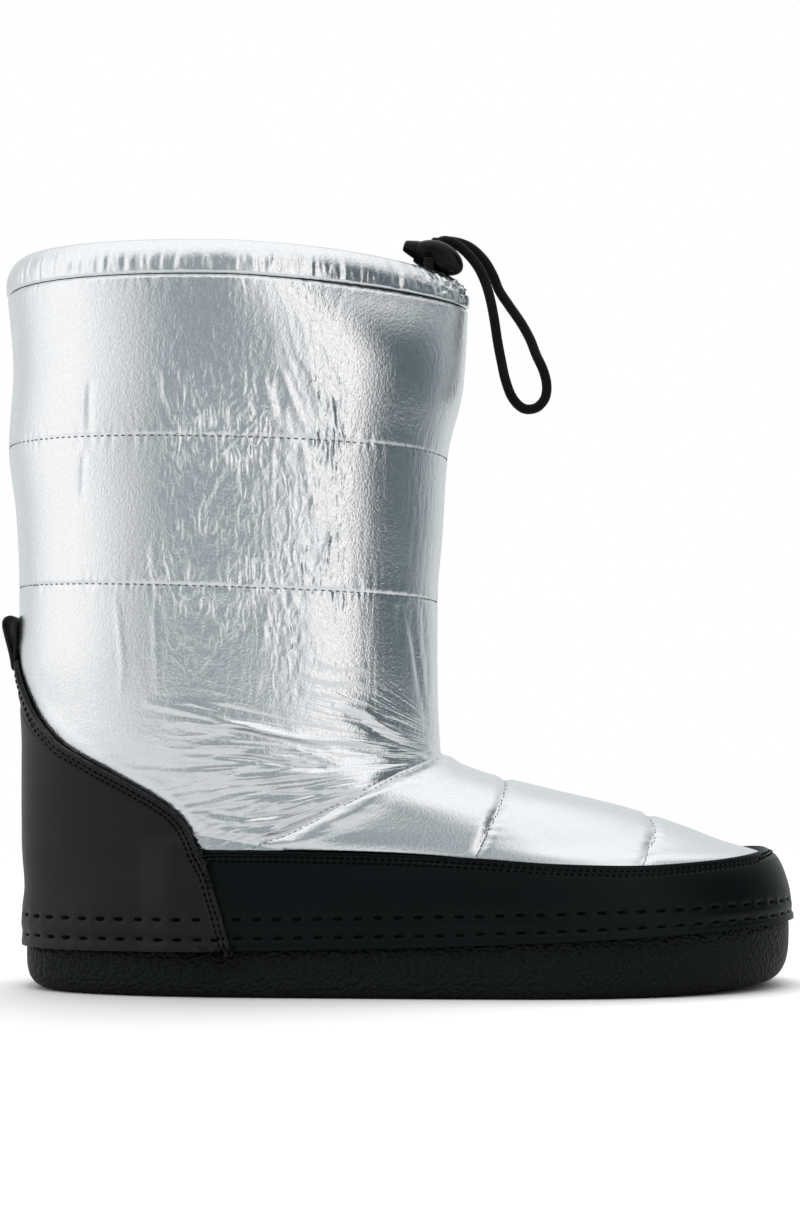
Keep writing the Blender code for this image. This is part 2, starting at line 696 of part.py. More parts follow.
def cord_tube(name, path, parent):
    curve = bpy.data.curves.new(name, "CURVE")
    curve.dimensions = "3D"
    curve.bevel_depth = CORD_DIAMETER / 2 * MM
    curve.bevel_resolution = 2
    curve.use_fill_caps = True
    spline = curve.splines.new("POLY")
    spline.points.add(len(path) - 1)
    for point, place in zip(spline.points, path):
        point.co = (*(place * MM), 1)
    curve.materials.append(material("black_cord"))
    part = bpy.data.objects.new(name, curve)
    PARTS.objects.link(part)
    part.parent = parent


def evenly_spaced(path, spacing):
    """The path with its points at equal distances, about the spacing apart."""
    lengths = np.cumsum([0.0] + [(b - a).length for a, b in zip(path, path[1:])])
    places = np.linspace(0, lengths[-1], round(lengths[-1] / spacing) + 1)
    columns = [np.interp(places, lengths, [p[axis] for p in path]) for axis in range(3)]
    return [Vector(place) for place in zip(*columns)]


def slot_mouth(side, height):
    """A point on a strand's line through the lock's slot, in the bootie's frame."""
    turn = Matrix.Rotation(LOCK_TILT, 3, "Y") @ Matrix.Rotation(LOCK_ROLL, 3, "X")
    return LOCK_CENTRE + turn @ Vector((LOCK_SLOT_X, side * STRAND_OFFSET, height))


def drawcord(root):
    route = [slot_mouth(-1, CORD_ENTRY), *CORD_ROUTE, slot_mouth(1, CORD_ENTRY)]
    cord_tube("drawcord_loop", evenly_spaced(smooth_path(route, 6), CORD_SPACING), root)
    for name, side in (("drawcord_lead_lateral", -1), ("drawcord_lead_medial", 1)):
        mouth = slot_mouth(side, -CORD_ENTRY)
        cord_tube(name, [mouth, Vector((mouth.x, mouth.y, LEAD_FOOT_Z))], root)


def main():
    for leftover in list(bpy.data.objects):
        bpy.data.objects.remove(leftover)
    for collection in (PARTS, CUTTERS):
        bpy.context.scene.collection.children.link(collection)
    root = bpy.data.objects.new("bootie_origin", None)
    PARTS.objects.link(root)
    root.location.x = -ORIGIN_X * MM
    outsole(root)
    footbed(root)
    upper(root)
    heel_counter(root)
    mudguard(root)
    pull_loop(root)
    collar_casing(root)
    frame = lock_empty(root)
    cord_lock_body(frame)
    cord_lock_plunger(frame)
    drawcord(root)


main()
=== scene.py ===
import math

import bmesh
import bpy
import numpy as np
from mathutils import Matrix, Vector, noise
from mathutils.bvhtree import BVHTree


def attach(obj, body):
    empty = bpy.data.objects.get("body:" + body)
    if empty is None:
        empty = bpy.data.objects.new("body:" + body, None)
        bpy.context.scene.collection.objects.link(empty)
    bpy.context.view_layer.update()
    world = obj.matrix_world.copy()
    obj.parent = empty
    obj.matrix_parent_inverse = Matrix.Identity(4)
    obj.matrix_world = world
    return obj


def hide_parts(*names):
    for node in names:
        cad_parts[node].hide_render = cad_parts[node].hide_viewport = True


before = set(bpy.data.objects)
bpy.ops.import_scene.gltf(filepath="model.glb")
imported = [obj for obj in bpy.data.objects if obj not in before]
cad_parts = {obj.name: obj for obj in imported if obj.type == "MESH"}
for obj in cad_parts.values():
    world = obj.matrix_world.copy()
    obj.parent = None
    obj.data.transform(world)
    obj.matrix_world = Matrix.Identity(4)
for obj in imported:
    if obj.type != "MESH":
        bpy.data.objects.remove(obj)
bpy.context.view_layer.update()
scene = bpy.context.scene

# Camera
# The photograph's eye is 0.8 m from the bootie's middle and 85 mm above the floor, level, looking across the foot.
# The frame is shifted upwards, as a view camera's is, so the upright shaft keeps its own sides.
IMAGE_HEIGHT = 1209
FOCAL_PIXELS = 2200
HORIZON_PIXEL = 750
SENSOR = 36
lens = bpy.data.cameras.new("camera")
lens.sensor_width = SENSOR
lens.lens = SENSOR * FOCAL_PIXELS / IMAGE_HEIGHT
lens.shift_y = (HORIZON_PIXEL - IMAGE_HEIGHT / 2) / IMAGE_HEIGHT
camera = bpy.data.objects.new("camera", lens)
camera.location = (-0.00035, -0.8, 0.085)
camera.rotation_euler = (math.pi / 2, 0, 0)
scene.collection.objects.link(camera)
scene.camera = camera

# Quilted shell
# The shaft and vamp are one shell of foil-coated fabric over wadding, sewn through in rows so that it puffs between
# them. It is shaped over the last, so it follows the sections the part is lofted through, in millimetres from the
# back of the heel, and its listed creases are laid on it.
MM = 0.001
HEEL_TO_ORIGIN = 137.75
SEAT_GAP = 0.3
SECTION_COLUMNS = (
    "back_x", "back_z", "front_x", "front_z", "rise", "widest_x", "lateral", "medial",
    "heel_round", "toe_round", "waist", "swing",
)
SECTIONS = [
    (3.6, 15.4, 278.2, 24.4, 2.0, 188, 49.5, 50.5, 2.75, 2.30, 0.10, 7.0),
    (2.8, 25.0, 278.0, 30.5, 1.8, 187, 50.2, 51.2, 2.75, 2.30, 0.10, 7.0),
    (3.8, 36.0, 276.2, 39.0, 1.4, 184, 49.3, 50.3, 2.70, 2.25, 0.09, 7.0),
    (3.0, 46.5, 272.0, 46.6, 1.0, 178, 46.6, 47.5, 2.65, 2.15, 0.08, 6.5),
    (2.7, 52.0, 258.0, 50.8, 1.0, 166, 45.6, 46.4, 2.60, 2.05, 0.06, 5.0),
    (2.6, 58.5, 239.3, 58.0, 1.0, 150, 45.0, 45.6, 2.50, 2.00, 0.05, 3.5),
    (2.5, 65.0, 217.0, 65.0, 1.0, 132, 44.6, 45.0, 2.45, 2.00, 0.03, 2.0),
    (2.5, 71.5, 192.0, 71.0, 1.0, 114, 44.3, 44.6, 2.40, 2.00, 0.02, 1.0),
    (2.5, 78.0, 167.0, 77.4, 1.0, 98, 44.3, 44.5, 2.30, 2.05, 0.01, 0.3),
    (2.5, 82.5, 156.2, 81.8, 1.0, 89, 44.5, 44.6, 2.25, 2.08, 0.0, 0.0),
    (2.5, 87.0, 152.4, 85.6, 1.0, 84, 44.8, 44.8, 2.20, 2.10, 0.0, 0.0),
    (2.0, 99.0, 151.4, 96.5, 1.0, 79, 45.5, 45.5, 2.20, 2.15, 0.0, 0.0),
    (-0.5, 119.0, 151.0, 115.5, 1.0, 77, 46.6, 46.6, 2.20, 2.20, 0.0, 0.0),
    (-0.2, 143.3, 150.9, 138.5, 1.0, 76, 48.0, 48.0, 2.20, 2.20, 0.0, 0.0),
    (-1.3, 168.5, 152.9, 164.3, 1.0, 77, 50.0, 50.0, 2.20, 2.20, 0.0, 0.0),
    (-4.0, 193.6, 154.5, 190.0, 1.0, 77, 52.0, 52.0, 2.20, 2.20, 0.0, 0.0),
    (-2.4, 221.0, 160.6, 217.5, 1.0, 79, 54.3, 54.3, 2.20, 2.12, 0.0, 0.0),
    (-4.2, 247.5, 162.2, 244.8, 1.0, 79, 55.6, 55.6, 2.20, 1.52, 0.0, 0.0),
]
COLLAR_LEVEL = len(SECTIONS) - 1
WAIST_X, WAIST_HALF_SPAN, LATERAL_WAIST_SHARE = 105.0, 75.0, 0.35
NORMAL_STEP = 0.02


def track(knots, values):
    """A smooth curve through the values that never overshoots between two knots."""
    knots, values = np.asarray(knots, float), np.asarray(values, float)
    steps = np.diff(knots)
    rates = np.diff(values) / steps
    slopes = np.zeros(len(values))
    slopes[0], slopes[-1] = rates[0], rates[-1]
    for i in range(1, len(values) - 1):
        if rates[i - 1] * rates[i] > 0:
            before, after = 2 * steps[i] + steps[i - 1], steps[i] + 2 * steps[i - 1]
            slopes[i] = (before + after) / (before / rates[i - 1] + after / rates[i])

    def curve(place):
        place = np.asarray(place, float)
        i = np.clip(np.searchsorted(knots, place, side="right") - 1, 0, len(steps) - 1)
        h = steps[i]
        t = (place - knots[i]) / h
        return (
            (1 + 2 * t) * (1 - t) ** 2 * values[i]
            + t * (1 - t) ** 2 * h * slopes[i]
            + t * t * (3 - 2 * t) * values[i + 1]
            + t * t * (t - 1) * h * slopes[i + 1]
        )

    return curve


SECTION_TRACKS = {
    name: track(range(len(SECTIONS)), column) for name, column in zip(SECTION_COLUMNS, zip(*SECTIONS))
}


def skin_at(level, angle):
    """Points of the padded skin. Angle 0 is the toe, and a quarter turn is the lateral side."""
    row = {name: curve(level) for name, curve in SECTION_TRACKS.items()}
    across, along = np.sin(angle), np.cos(angle)
    power = 2 / np.where(along >= 0, row["toe_round"], row["heel_round"])
    reach = np.where(along >= 0, row["front_x"] - row["widest_x"], row["widest_x"] - row["back_x"])
    x = row["widest_x"] + reach * np.sign(along) * np.abs(along) ** power
    near = np.clip(1 - np.abs(x - WAIST_X) / WAIST_HALF_SPAN, 0, 1)
    pinch = row["waist"] * np.sin(np.pi / 2 * near) ** 2 * np.where(across >= 0, LATERAL_WAIST_SHARE, 1)
    half_width = np.where(across >= 0, row["lateral"], row["medial"])
    y = -half_width * np.sign(across) * np.abs(across) ** power * (1 - pinch)
    y = y + np.where(along > 0, row["swing"] * ((x - row["widest_x"]) / reach) ** 2, 0)
    share = np.clip((x - row["back_x"]) / (row["front_x"] - row["back_x"]), 0, None)
    z = row["back_z"] + (row["front_z"] - row["back_z"]) * share ** row["rise"]
    return np.stack((x, y, z), axis=-1)


def unit(vectors):
    return vectors / np.linalg.norm(vectors, axis=-1, keepdims=True)


def run_along(path):
    """How far along a path each of its points lies."""
    return np.concatenate(([0], np.cumsum(np.linalg.norm(np.diff(path, axis=0), axis=1))))


def skin_out(level, angle):
    """The skin's outward directions."""
    low, high = np.maximum(level - NORMAL_STEP, 0), np.minimum(level + NORMAL_STEP, COLLAR_LEVEL)
    upwards = skin_at(high, angle) - skin_at(low, angle)
    sideways = skin_at(level, angle + NORMAL_STEP) - skin_at(level, angle - NORMAL_STEP)
    return unit(np.cross(upwards, sideways))


half_turn = np.unique(np.concatenate((
    np.linspace(0, np.pi, 361),
    np.pi / 2 + np.geomspace(1e-6, 0.1, 60),
    np.pi / 2 - np.geomspace(1e-6, 0.1, 60),
)))
full_turn = np.concatenate((half_turn, half_turn[1:] + np.pi))
even_shares = np.linspace(0, 1, 1025)
even_angles = []
for ring_level in np.linspace(0, COLLAR_LEVEL, 137):
    ring = skin_at(np.full(len(full_turn), ring_level), full_turn)
    length = run_along(ring)
    heel = length[len(half_turn) - 1]
    share = np.where(full_turn <= np.pi, length / heel, 1 + (length - heel) / (length[-1] - heel)) / 2
    even_angles.append(np.interp(even_shares, share, full_turn))
even_angles = np.array(even_angles)


def angle_of(level, around):
    """The angle that lies this share of the way round the ring at a level: 0 at the toe, a half at the heel."""
    row = np.clip(level / COLLAR_LEVEL, 0, 1) * (len(even_angles) - 1)
    column = np.mod(around, 1) * (len(even_shares) - 1)
    r = np.minimum(row.astype(int), len(even_angles) - 2)
    c = np.minimum(column.astype(int), len(even_shares) - 2)
    row, column = row - r, column - c
    low = even_angles[r, c] * (1 - column) + even_angles[r, c + 1] * column
    high = even_angles[r + 1, c] * (1 - column) + even_angles[r + 1, c + 1] * column
    return low * (1 - row) + high * row


def skin_around(level, around):
    return skin_at(level, angle_of(level, around))


def to_frame(points):
    """From millimetres beyond the back of the heel to metres in the shared frame."""
    return (np.asarray(points) - (HEEL_TO_ORIGIN, 0, 0)) * MM


def fitted_grid(columns, rows, place, mark=None):
    """A grid of quads with each point where place(around, up) puts it, both from 0 to 1, and its meeting edges merged.
    mark(points) gives its material how crinkled and worn the cloth is, and the run, turn and depth of fanned folds."""
    shape = bmesh.new()
    bmesh.ops.create_grid(shape, x_segments=columns, y_segments=rows, size=0.5)
    shares = np.array([v.co for v in shape.verts], float) + 0.5
    points = place(shares[:, 0], shares[:, 1])
    for vert, point in zip(shape.verts, to_frame(points)):
        vert.co = point
    if mark:
        layers = shape.verts.layers
        crinkle, worn, folds = layers.float.new("crinkle"), layers.float.new("worn"), layers.float_vector.new("folds")
        for vert, *marks in zip(shape.verts, *mark(points)):
            vert[crinkle], vert[worn], vert[folds] = marks
    bmesh.ops.remove_doubles(shape, verts=shape.verts, dist=1e-6)
    return shape


def make_piece(name, shape, material, body, sharp=None):
    """A finished bmesh as a named piece that rides on a body."""
    mesh = bpy.data.meshes.new(name)
    shape.to_mesh(mesh)
    shape.free()
    mesh.materials.append(material)
    mesh.shade_smooth()
    if sharp:
        mesh.set_sharp_from_angle(angle=math.radians(sharp))
    piece = bpy.data.objects.new(name, mesh)
    scene.collection.objects.link(piece)
    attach(piece, body)
    return piece


def distance_to(points, line):
    """In side view, how far points lie from a bent line, and the share of its length at the nearest place."""
    line = np.asarray(line, float)
    spans = np.linalg.norm(np.diff(line, axis=0), axis=1)
    starts = run_along(line)
    nearest, share = np.full(len(points), 1e9), np.zeros(len(points))
    for a, b, span, start in zip(line, line[1:], spans, starts):
        t = np.clip((points - a) @ (b - a) / span ** 2, 0, 1)
        gap = np.linalg.norm(points - a - t[:, None] * (b - a), axis=1)
        closer = gap < nearest
        nearest = np.where(closer, gap, nearest)
        share = np.where(closer, (start + t * span) / starts[-1], share)
    return nearest, share


def smooth_step(value, low, high):
    t = np.clip((value - low) / (high - low), 0, 1)
    return t * t * (3 - 2 * t)


def between(value, low, full, fade, high):
    """Rises smoothly from 0 at low to 1 at full, and falls from fade to high."""
    return smooth_step(value, low, full) * (1 - smooth_step(value, fade, high))


def valley(distance, depth, width):
    """A sewn-down line: a sharp floor between round shoulders."""
    return -depth * np.clip(1 - np.abs(distance) / width, 0, 1) ** 2


def crumple(points, scale, seed):
    """Smooth noise from -1 to 1 over points, with a wave length for each axis."""
    return np.array([noise.noise(Vector(p)) for p in points / scale + seed])


def pleats(points, scale, seed, sharp=2.2):
    """Noise folded into ridges: 1 along each ridge, and falling away beside it."""
    return 1 - sharp * np.abs(crumple(points, scale, seed))


COUNTER_EDGE = [
    (0.3, 118.5), (1.6, 113), (4.2, 106.5), (8.4, 98.6), (12.8, 93), (20, 86.4), (35, 78.2), (52, 69), (60.5, 62.8),
    (65.5, 56), (69, 48.5), (73.6, 37.6), (79.6, 18),
]
MUDGUARD_EDGE = [
    (60, 50.3), (100, 50), (137, 48.9), (168, 47.2), (192, 45.2), (219, 44.3), (243, 45.2), (260, 46.6), (276, 48.4),
]
LAP_X, LAP_Z = 69, 50
counter_top = track(*zip(*COUNTER_EDGE))
mudguard_top = track(*zip(*MUDGUARD_EDGE))
leather_line = [p for p in COUNTER_EDGE if p[1] > LAP_Z] + [p for p in MUDGUARD_EDGE if p[0] > LAP_X]
ANKLE_SEAM = [(152, 83.5), (136.3, 77.4), (121.3, 68.5), (106.4, 60.5), (98.8, 56.7), (87.8, 51.6), (82, 48)]
VAMP_SEAMS = [
    [(175.6, 75), (173, 68.2), (169.3, 60.4), (163.7, 48.7), (160, 41)],
    [(227.9, 63), (227.3, 55.7), (224.4, 51.1), (220.8, 44.7), (218, 40)],
]
QUILT_LEVELS = (13, 15)
# Creases in side view: height of the fold, half width, and the points that it runs through
CREASES = [
    (-0.75, 1.3, [(31, 212), (30.5, 204), (30.5, 195)]),
    (-0.6, 1.3, [(28.5, 188), (28, 180), (27.5, 171)]),
    (0.6, 1.3, [(56.8, 215), (57.5, 206), (62, 196)]),
    (0.6, 1.4, [(65.7, 214), (67.4, 206), (72.6, 195)]),
    (0.5, 1.3, [(77.4, 202), (78.4, 195)]),
    (0.5, 1.3, [(83.2, 215), (84.2, 208), (86, 200)]),
    (0.6, 1.4, [(91, 212), (93.5, 202), (95.7, 194.5)]),
    (0.7, 1.4, [(96.8, 214), (100, 206), (104, 196)]),
    (0.55, 1.3, [(106.5, 217), (108.2, 208), (110.6, 197)]),
    (0.6, 1.3, [(113.6, 206), (114.1, 194.5)]),
    (0.7, 1.4, [(75.7, 189), (75.3, 179), (70, 167), (70, 158)]),
    (0.5, 1.3, [(82, 186), (80, 180)]),
    (0.5, 1.3, [(87.7, 178), (86, 169)]),
    (0.6, 1.4, [(103.6, 190), (105.2, 181), (109.3, 164)]),
    (0.6, 1.3, [(113, 159), (111.3, 145)]),
    (0.5, 1.3, [(66.7, 150), (66.4, 144)]),
    (0.5, 1.3, [(90.4, 157), (91, 144)]),
    (0.4, 1.3, [(52.7, 157), (53.2, 143)]),
    (0.5, 1.3, [(98, 150), (99.7, 143)]),
    (0.4, 1.4, [(53.2, 137), (53.6, 120), (54.3, 104)]),
    (0.35, 1.5, [(39.6, 139), (42, 114.5), (41, 102)]),
    (0.5, 1.3, [(76.3, 133), (79.8, 123)]),
    (0.5, 1.3, [(92, 134), (90, 119)]),
    (-0.7, 1.2, [(139, 136), (142, 123), (144.6, 109), (147, 92)]),
    (-0.6, 1.2, [(141.5, 136), (143, 119), (144.3, 102)]),
    (-0.5, 1.2, [(136.4, 136), (137.7, 121)]),
    (-0.5, 1.2, [(145.5, 136), (146.6, 118), (147.4, 104)]),
    (1.5, 1.5, [(150.3, 85), (140, 88.8), (131.4, 93.6), (125, 98.4), (119, 100), (113.6, 100.4)]),
    (-1.2, 1.3, [(149, 83.6), (138.5, 86.4), (129.6, 90.8), (123.2, 95.4), (118, 97)]),
    (1.7, 1.4, [(147, 82.6), (136, 85.2), (124, 87.4), (111.5, 88.4), (101, 89.5), (92.5, 91), (84.2, 93), (73.6, 93.6),
                (63, 94.6), (55.8, 94.6)]),
    (-1.3, 1.3, [(133, 83.6), (122, 85.3), (110, 86.2), (100, 87.2), (91, 88.6)]),
    (1.3, 1.3, [(144, 81.6), (131.4, 82.4), (122, 83.4), (111.5, 84.3)]),
    (1.4, 1.4, [(137.4, 80.5), (120, 84.6), (96.4, 90.1), (72, 96.4), (49.2, 101.4)]),
    (1.2, 1.3, [(118, 79.6), (104, 84.6), (91.2, 89.4)]),
    (-1.2, 1.3, [(112, 78.6), (107, 78.9), (99, 80), (89.4, 81.6), (80, 82.6), (73.6, 83)]),
    (0.6, 1.4, [(108, 80.6), (99, 81.9), (89.4, 83.4), (80, 84.5)]),
    (0.6, 1.5, [(135.7, 79.5), (115, 77.2), (93, 76), (69, 76.8), (51.7, 77.8), (38, 79.5)]),
    (0.6, 1.3, [(123.7, 72.4), (110, 71.4), (99, 72), (88, 71.6)]),
    (-0.6, 1.3, [(118, 70.2), (104, 69.6), (92, 70), (84, 69.4)]),
    (0.6, 1.3, [(112, 66.8), (100, 66.6), (88, 67.2), (78, 66.2)]),
    (-0.6, 1.4, [(70, 63.6), (82, 62), (94, 62.4), (104, 63.2)]),
    (0.7, 1.3, [(71, 61.6), (82, 60), (92, 60.4), (101, 61)]),
    (0.7, 1.3, [(74, 57.2), (82, 55.4), (90, 56.2), (96, 57.4)]),
    (0.7, 1.5, [(101, 113.5), (106, 110.4), (113.6, 108.8), (125, 108.8)]),
    (0.5, 1.3, [(56.8, 101.5), (65.4, 101), (75.7, 99.4)]),
    (0.6, 1.3, [(103, 105.6), (113.4, 104), (123.7, 102.2), (130, 99)]),
    (0.5, 1.3, [(108, 116), (116, 113.6), (126, 114)]),
]
MEDIAL_SHIFT = np.array((-7.0, 3.0))
CREASE_SHARE, CREASE_SPREAD = 0.5, 0.8
# Sewn rings: level, depth and half width of the valley, and how far the cloth is crumpled above and under it
SEWN_RINGS = [(QUILT_LEVELS[0], 0.5, 1.5, 22, 16), (QUILT_LEVELS[1], 0.5, 1.5, 34, 24), (COLLAR_LEVEL, 0.8, 1.8, 0, 0)]
# Ridges of crumpled cloth: height, wave lengths along each axis, and place in the noise
CRUMPLED_RIDGES = [(0.24, (4.6, 4.6, 16.0), 2.3), (0.15, (3.4, 3.4, 6.0), 14.9)]
# Folds that fan out from the front of the ankle: height, wave length across them, and place in the noise
FAN_FOLDS = [(0.2, 2.2, 23.1), (0.1, 1.3, 8.6)]
FAN_X, FAN_Z, FAN_LENGTH, FAN_TURN = 168, 82, 24.0, 62
SHAFT_FRONT_X, SHAFT_SLOPE, ANKLE_SLOPE = 152, 0.28, 0.52
VAMP_VALLEY, ANKLE_VALLEY = (1.2, 4.0), (1.7, 4.5)
# Heights of the smaller forms
COLLAR_ROLL, SEAM_PUCKER, FRONT_PLEAT, SHAFT_WAVE = 0.12, 0.2, 0.06, 0.12
ANKLE_RIDGE, ANKLE_PUCKER, VAMP_FOLD = 0.5, 0.45, 0.3
EDGE_PRESS, EDGE_SWELL = 0.25, 0.3
# Where along the foot the side of the shaft is crumpled, crinkled, and crinkled low down
CRUMPLED_X, CRINKLED_X, LOW_CRINKLED_X = (46, 70, 102, 118), (40, 66, 114, 124), (80, 96, 108, 120)
SHELL_LOW, FRONT_SHARE = 2.6, 0.7
SHELL_COLUMNS, SHELL_ROWS = 640, 372

fine_levels = np.linspace(SHELL_LOW, COLLAR_LEVEL, 700)
side_steps, front_steps = (
    np.linalg.norm(np.diff(skin_at(fine_levels, np.full(700, angle)), axis=0), axis=1) for angle in (np.pi / 2, 0.0)
)
level_lengths = np.concatenate(([0], np.cumsum(np.maximum(side_steps, FRONT_SHARE * front_steps))))


def seam_height(level, x):
    """Height of a sewn ring at a place along the foot."""
    back_x, back_z, front_x, front_z = SECTIONS[level][:4]
    return back_z + (front_z - back_z) * np.clip((x - back_x) / (front_x - back_x), 0, 1)


def mudguard_edge_z(x):
    return mudguard_top(np.clip(x, MUDGUARD_EDGE[0][0], MUDGUARD_EDGE[-1][0]))


def above_ankle(x, z):
    """0 on the vamp's side of the slanting ankle seam, and 1 on the shaft's."""
    return smooth_step(z + ANKLE_SLOPE * (SHAFT_FRONT_X - x), 84, 88)


def fan_place(x, z):
    """How far a point lies from the middle of the ankle's fan, and how far round it."""
    return np.hypot(FAN_X - x, z - FAN_Z), FAN_TURN * np.arctan2(z - FAN_Z, FAN_X - x)


def wrinkles(points, scale, seed):
    """Sharp low ridges, bent and broken here and there, that run along the longest axis of the scale."""
    bent = points + np.stack((crumple(points, (7.0, 7.0, 9.0), seed + 20), 0 * points[:, 0],
                              1.5 * crumple(points, (6.0, 6.0, 8.0), seed + 30)), axis=-1)
    ridges = np.clip(pleats(bent, scale, seed, 3.2), -0.5, 1)
    return ridges * smooth_step(crumple(points, (9.0, 9.0, 12.0), seed + 50), -0.45, 0.15)


def shell_lift(points):
    """How far the shell stands off the last's own skin: puffs, sewn lines, puckers beside them, and creases."""
    x, y, z = points.T
    side = points[:, [0, 2]]
    lift, pucker, crumpled = np.zeros(len(x)), np.zeros(len(x)), np.full(len(x), 0.25)
    shaft = smooth_step(z + SHAFT_SLOPE * (SHAFT_FRONT_X - x), 86, 98)
    for level, depth, width, over, under in SEWN_RINGS:
        gap = z - seam_height(level, x)
        lift += valley(gap, depth, width)
        pucker += np.exp(-np.abs(gap) / 3.6)
        if over:
            crumpled += 0.75 * (1 - smooth_step(np.abs(gap), 0.2 * over, np.where(gap > 0, over, under)))

    # Crumpled cloth on the side of the shaft, puckers beside its seams, and a slow waviness
    crumpled = shaft * between(x, *CRUMPLED_X) * np.clip(crumpled, 0, 1)
    slanted = points + np.stack((0.3 * z * smooth_step(x, 74, 96), 0 * y, 0 * z), axis=-1)
    for height, scale, seed in CRUMPLED_RIDGES:
        lift += crumpled * height * wrinkles(slanted, scale, seed)
    lift -= COLLAR_ROLL * smooth_step(z - seam_height(COLLAR_LEVEL, x), -11, 0) * smooth_step(x, 98, 124)
    front = smooth_step(x, 118, 130) * (1 - smooth_step(z, 176, 196))
    lift += shaft * SEAM_PUCKER * np.clip(pucker, 0, 1) * pleats(points, (2.3, 2.3, 9.0), 3.7)
    lift += shaft * front * FRONT_PLEAT * pleats(points, (1.9, 1.9, 30.0), 11.3)
    lift += shaft * SHAFT_WAVE * crumple(points, (18.0, 18.0, 26.0), 5.2)

    # The ankle: a fan of folds over its seam, and a ridge with slanting puckers under it
    ankle_gap, _ = distance_to(side, ANKLE_SEAM)
    reach, turn = fan_place(x, z)
    fan = (1 - smooth_step(z, 92, 106)) * above_ankle(x, z) * (1 - smooth_step(x, 146, 152))
    fan = fan * (0.12 + 0.88 * smooth_step(x, 56, 92))
    for height, wide, seed in FAN_FOLDS:
        lift += fan * height * pleats(np.stack((reach, turn, 0.2 * y), axis=-1), (FAN_LENGTH, wide, 9.0), seed, 2.4)
    below = smooth_step(ANKLE_SLOPE * (SHAFT_FRONT_X - x) + z, 87, 82)
    lift += valley(ankle_gap, *ANKLE_VALLEY) * smooth_step(x, 80, 90)
    lift += below * ANKLE_RIDGE * np.exp(-((ankle_gap - 4.5) / 3.4) ** 2) * smooth_step(x, 90, 112)
    slant = np.stack((x + 1.6 * z, y, z - 0.3 * x), axis=-1)
    puckers = below * ANKLE_PUCKER * np.exp(-ankle_gap / 4.5) * crumple(slant, (9.0, 2.2, 2.2), 41.3)
    lift += puckers * (1 - smooth_step(x, 136, 148))

    # The vamp's seams, and the listed creases, a little shifted on the medial side
    cross_folds = crumple(points, (11.0, 2.0, 2.0), 31.9)
    for line in VAMP_SEAMS:
        gap, _ = distance_to(side, line)
        lift += valley(gap, *VAMP_VALLEY)
        lift += VAMP_FOLD * np.exp(-gap / 4.0) * cross_folds * (1 - smooth_step(z, 58, 68))
    for height, width, line in CREASES:
        for on_side, shift in ((y < 0, 0), (y >= 0, MEDIAL_SHIFT)):
            gap, share = distance_to(side[on_side], np.array(line) + shift)
            taper = np.sqrt(np.clip(4 * share * (1 - share), 0, 1))
            lift[on_side] += CREASE_SHARE * height * np.exp(-(gap / (CREASE_SPREAD * width)) ** 2) * taper

    # All of it dies away towards the leather, which presses the quilt down under its edge
    edge_gap, _ = distance_to(side, leather_line)
    outline = np.where(
        x < LAP_X, counter_top(np.clip(x, COUNTER_EDGE[0][0], COUNTER_EDGE[-1][0])), mudguard_edge_z(x)
    )
    outside = np.where(z > outline, edge_gap, -edge_gap)
    pressed = EDGE_PRESS * (1 - smooth_step(outside, -1, 2))
    return lift * smooth_step(outside, 0.3, 5.0) - pressed + EDGE_SWELL * np.exp(-((outside - 3.6) / 2.6) ** 2)


def shell_crinkle(points):
    """Patches of upright crinkles on the side of the shaft, most beside its seams, folds that fan out from the ankle,
    and how worn the foil is: most on the vamp."""
    x, _, z = points.T
    above = above_ankle(x, z)
    middle = between(x, *CRINKLED_X) * smooth_step(z, 96, 112)
    beside = sum(np.exp(-np.abs(z - seam_height(level, x)) / 18) for level in QUILT_LEVELS)
    patches = smooth_step(crumple(points, (13.0, 13.0, 17.0), 61.7), -0.35, 0.3)
    broken = 0.3 + 0.7 * patches
    upright = middle * (0.15 + 0.85 * patches * np.clip(beside, 0.15, 1))
    upright = upright + 0.22 * smooth_step(x, 130, 146) * above * broken
    low = middle * between(x, *LOW_CRINKLED_X) * (1 - smooth_step(z, 134, 150))
    upright = np.maximum(upright, 0.8 * low * broken)
    fan = 0.55 * above * (1 - smooth_step(z, 94, 112)) * smooth_step(x, 36, 80) * (1 - 0.5 * smooth_step(x, 112, 126))
    vamp = (1 - above) * (0.6 + 0.4 * smooth_step(x + z, 205, 235))
    worn = np.maximum(vamp + 0.6 * (1 - smooth_step(z, 80, 98)) * above, 0.3 * smooth_step(x, 121, 130))
    reach, turn = fan_place(x, z)
    return upright, worn, np.stack((0.1 * reach, turn, fan), axis=-1)


def shell_place(around, up):
    level = np.interp(up, level_lengths / level_lengths[-1], fine_levels)
    angle = angle_of(level, -around)
    points = skin_at(level, angle)
    return points + skin_out(level, angle) * shell_lift(points)[:, None]


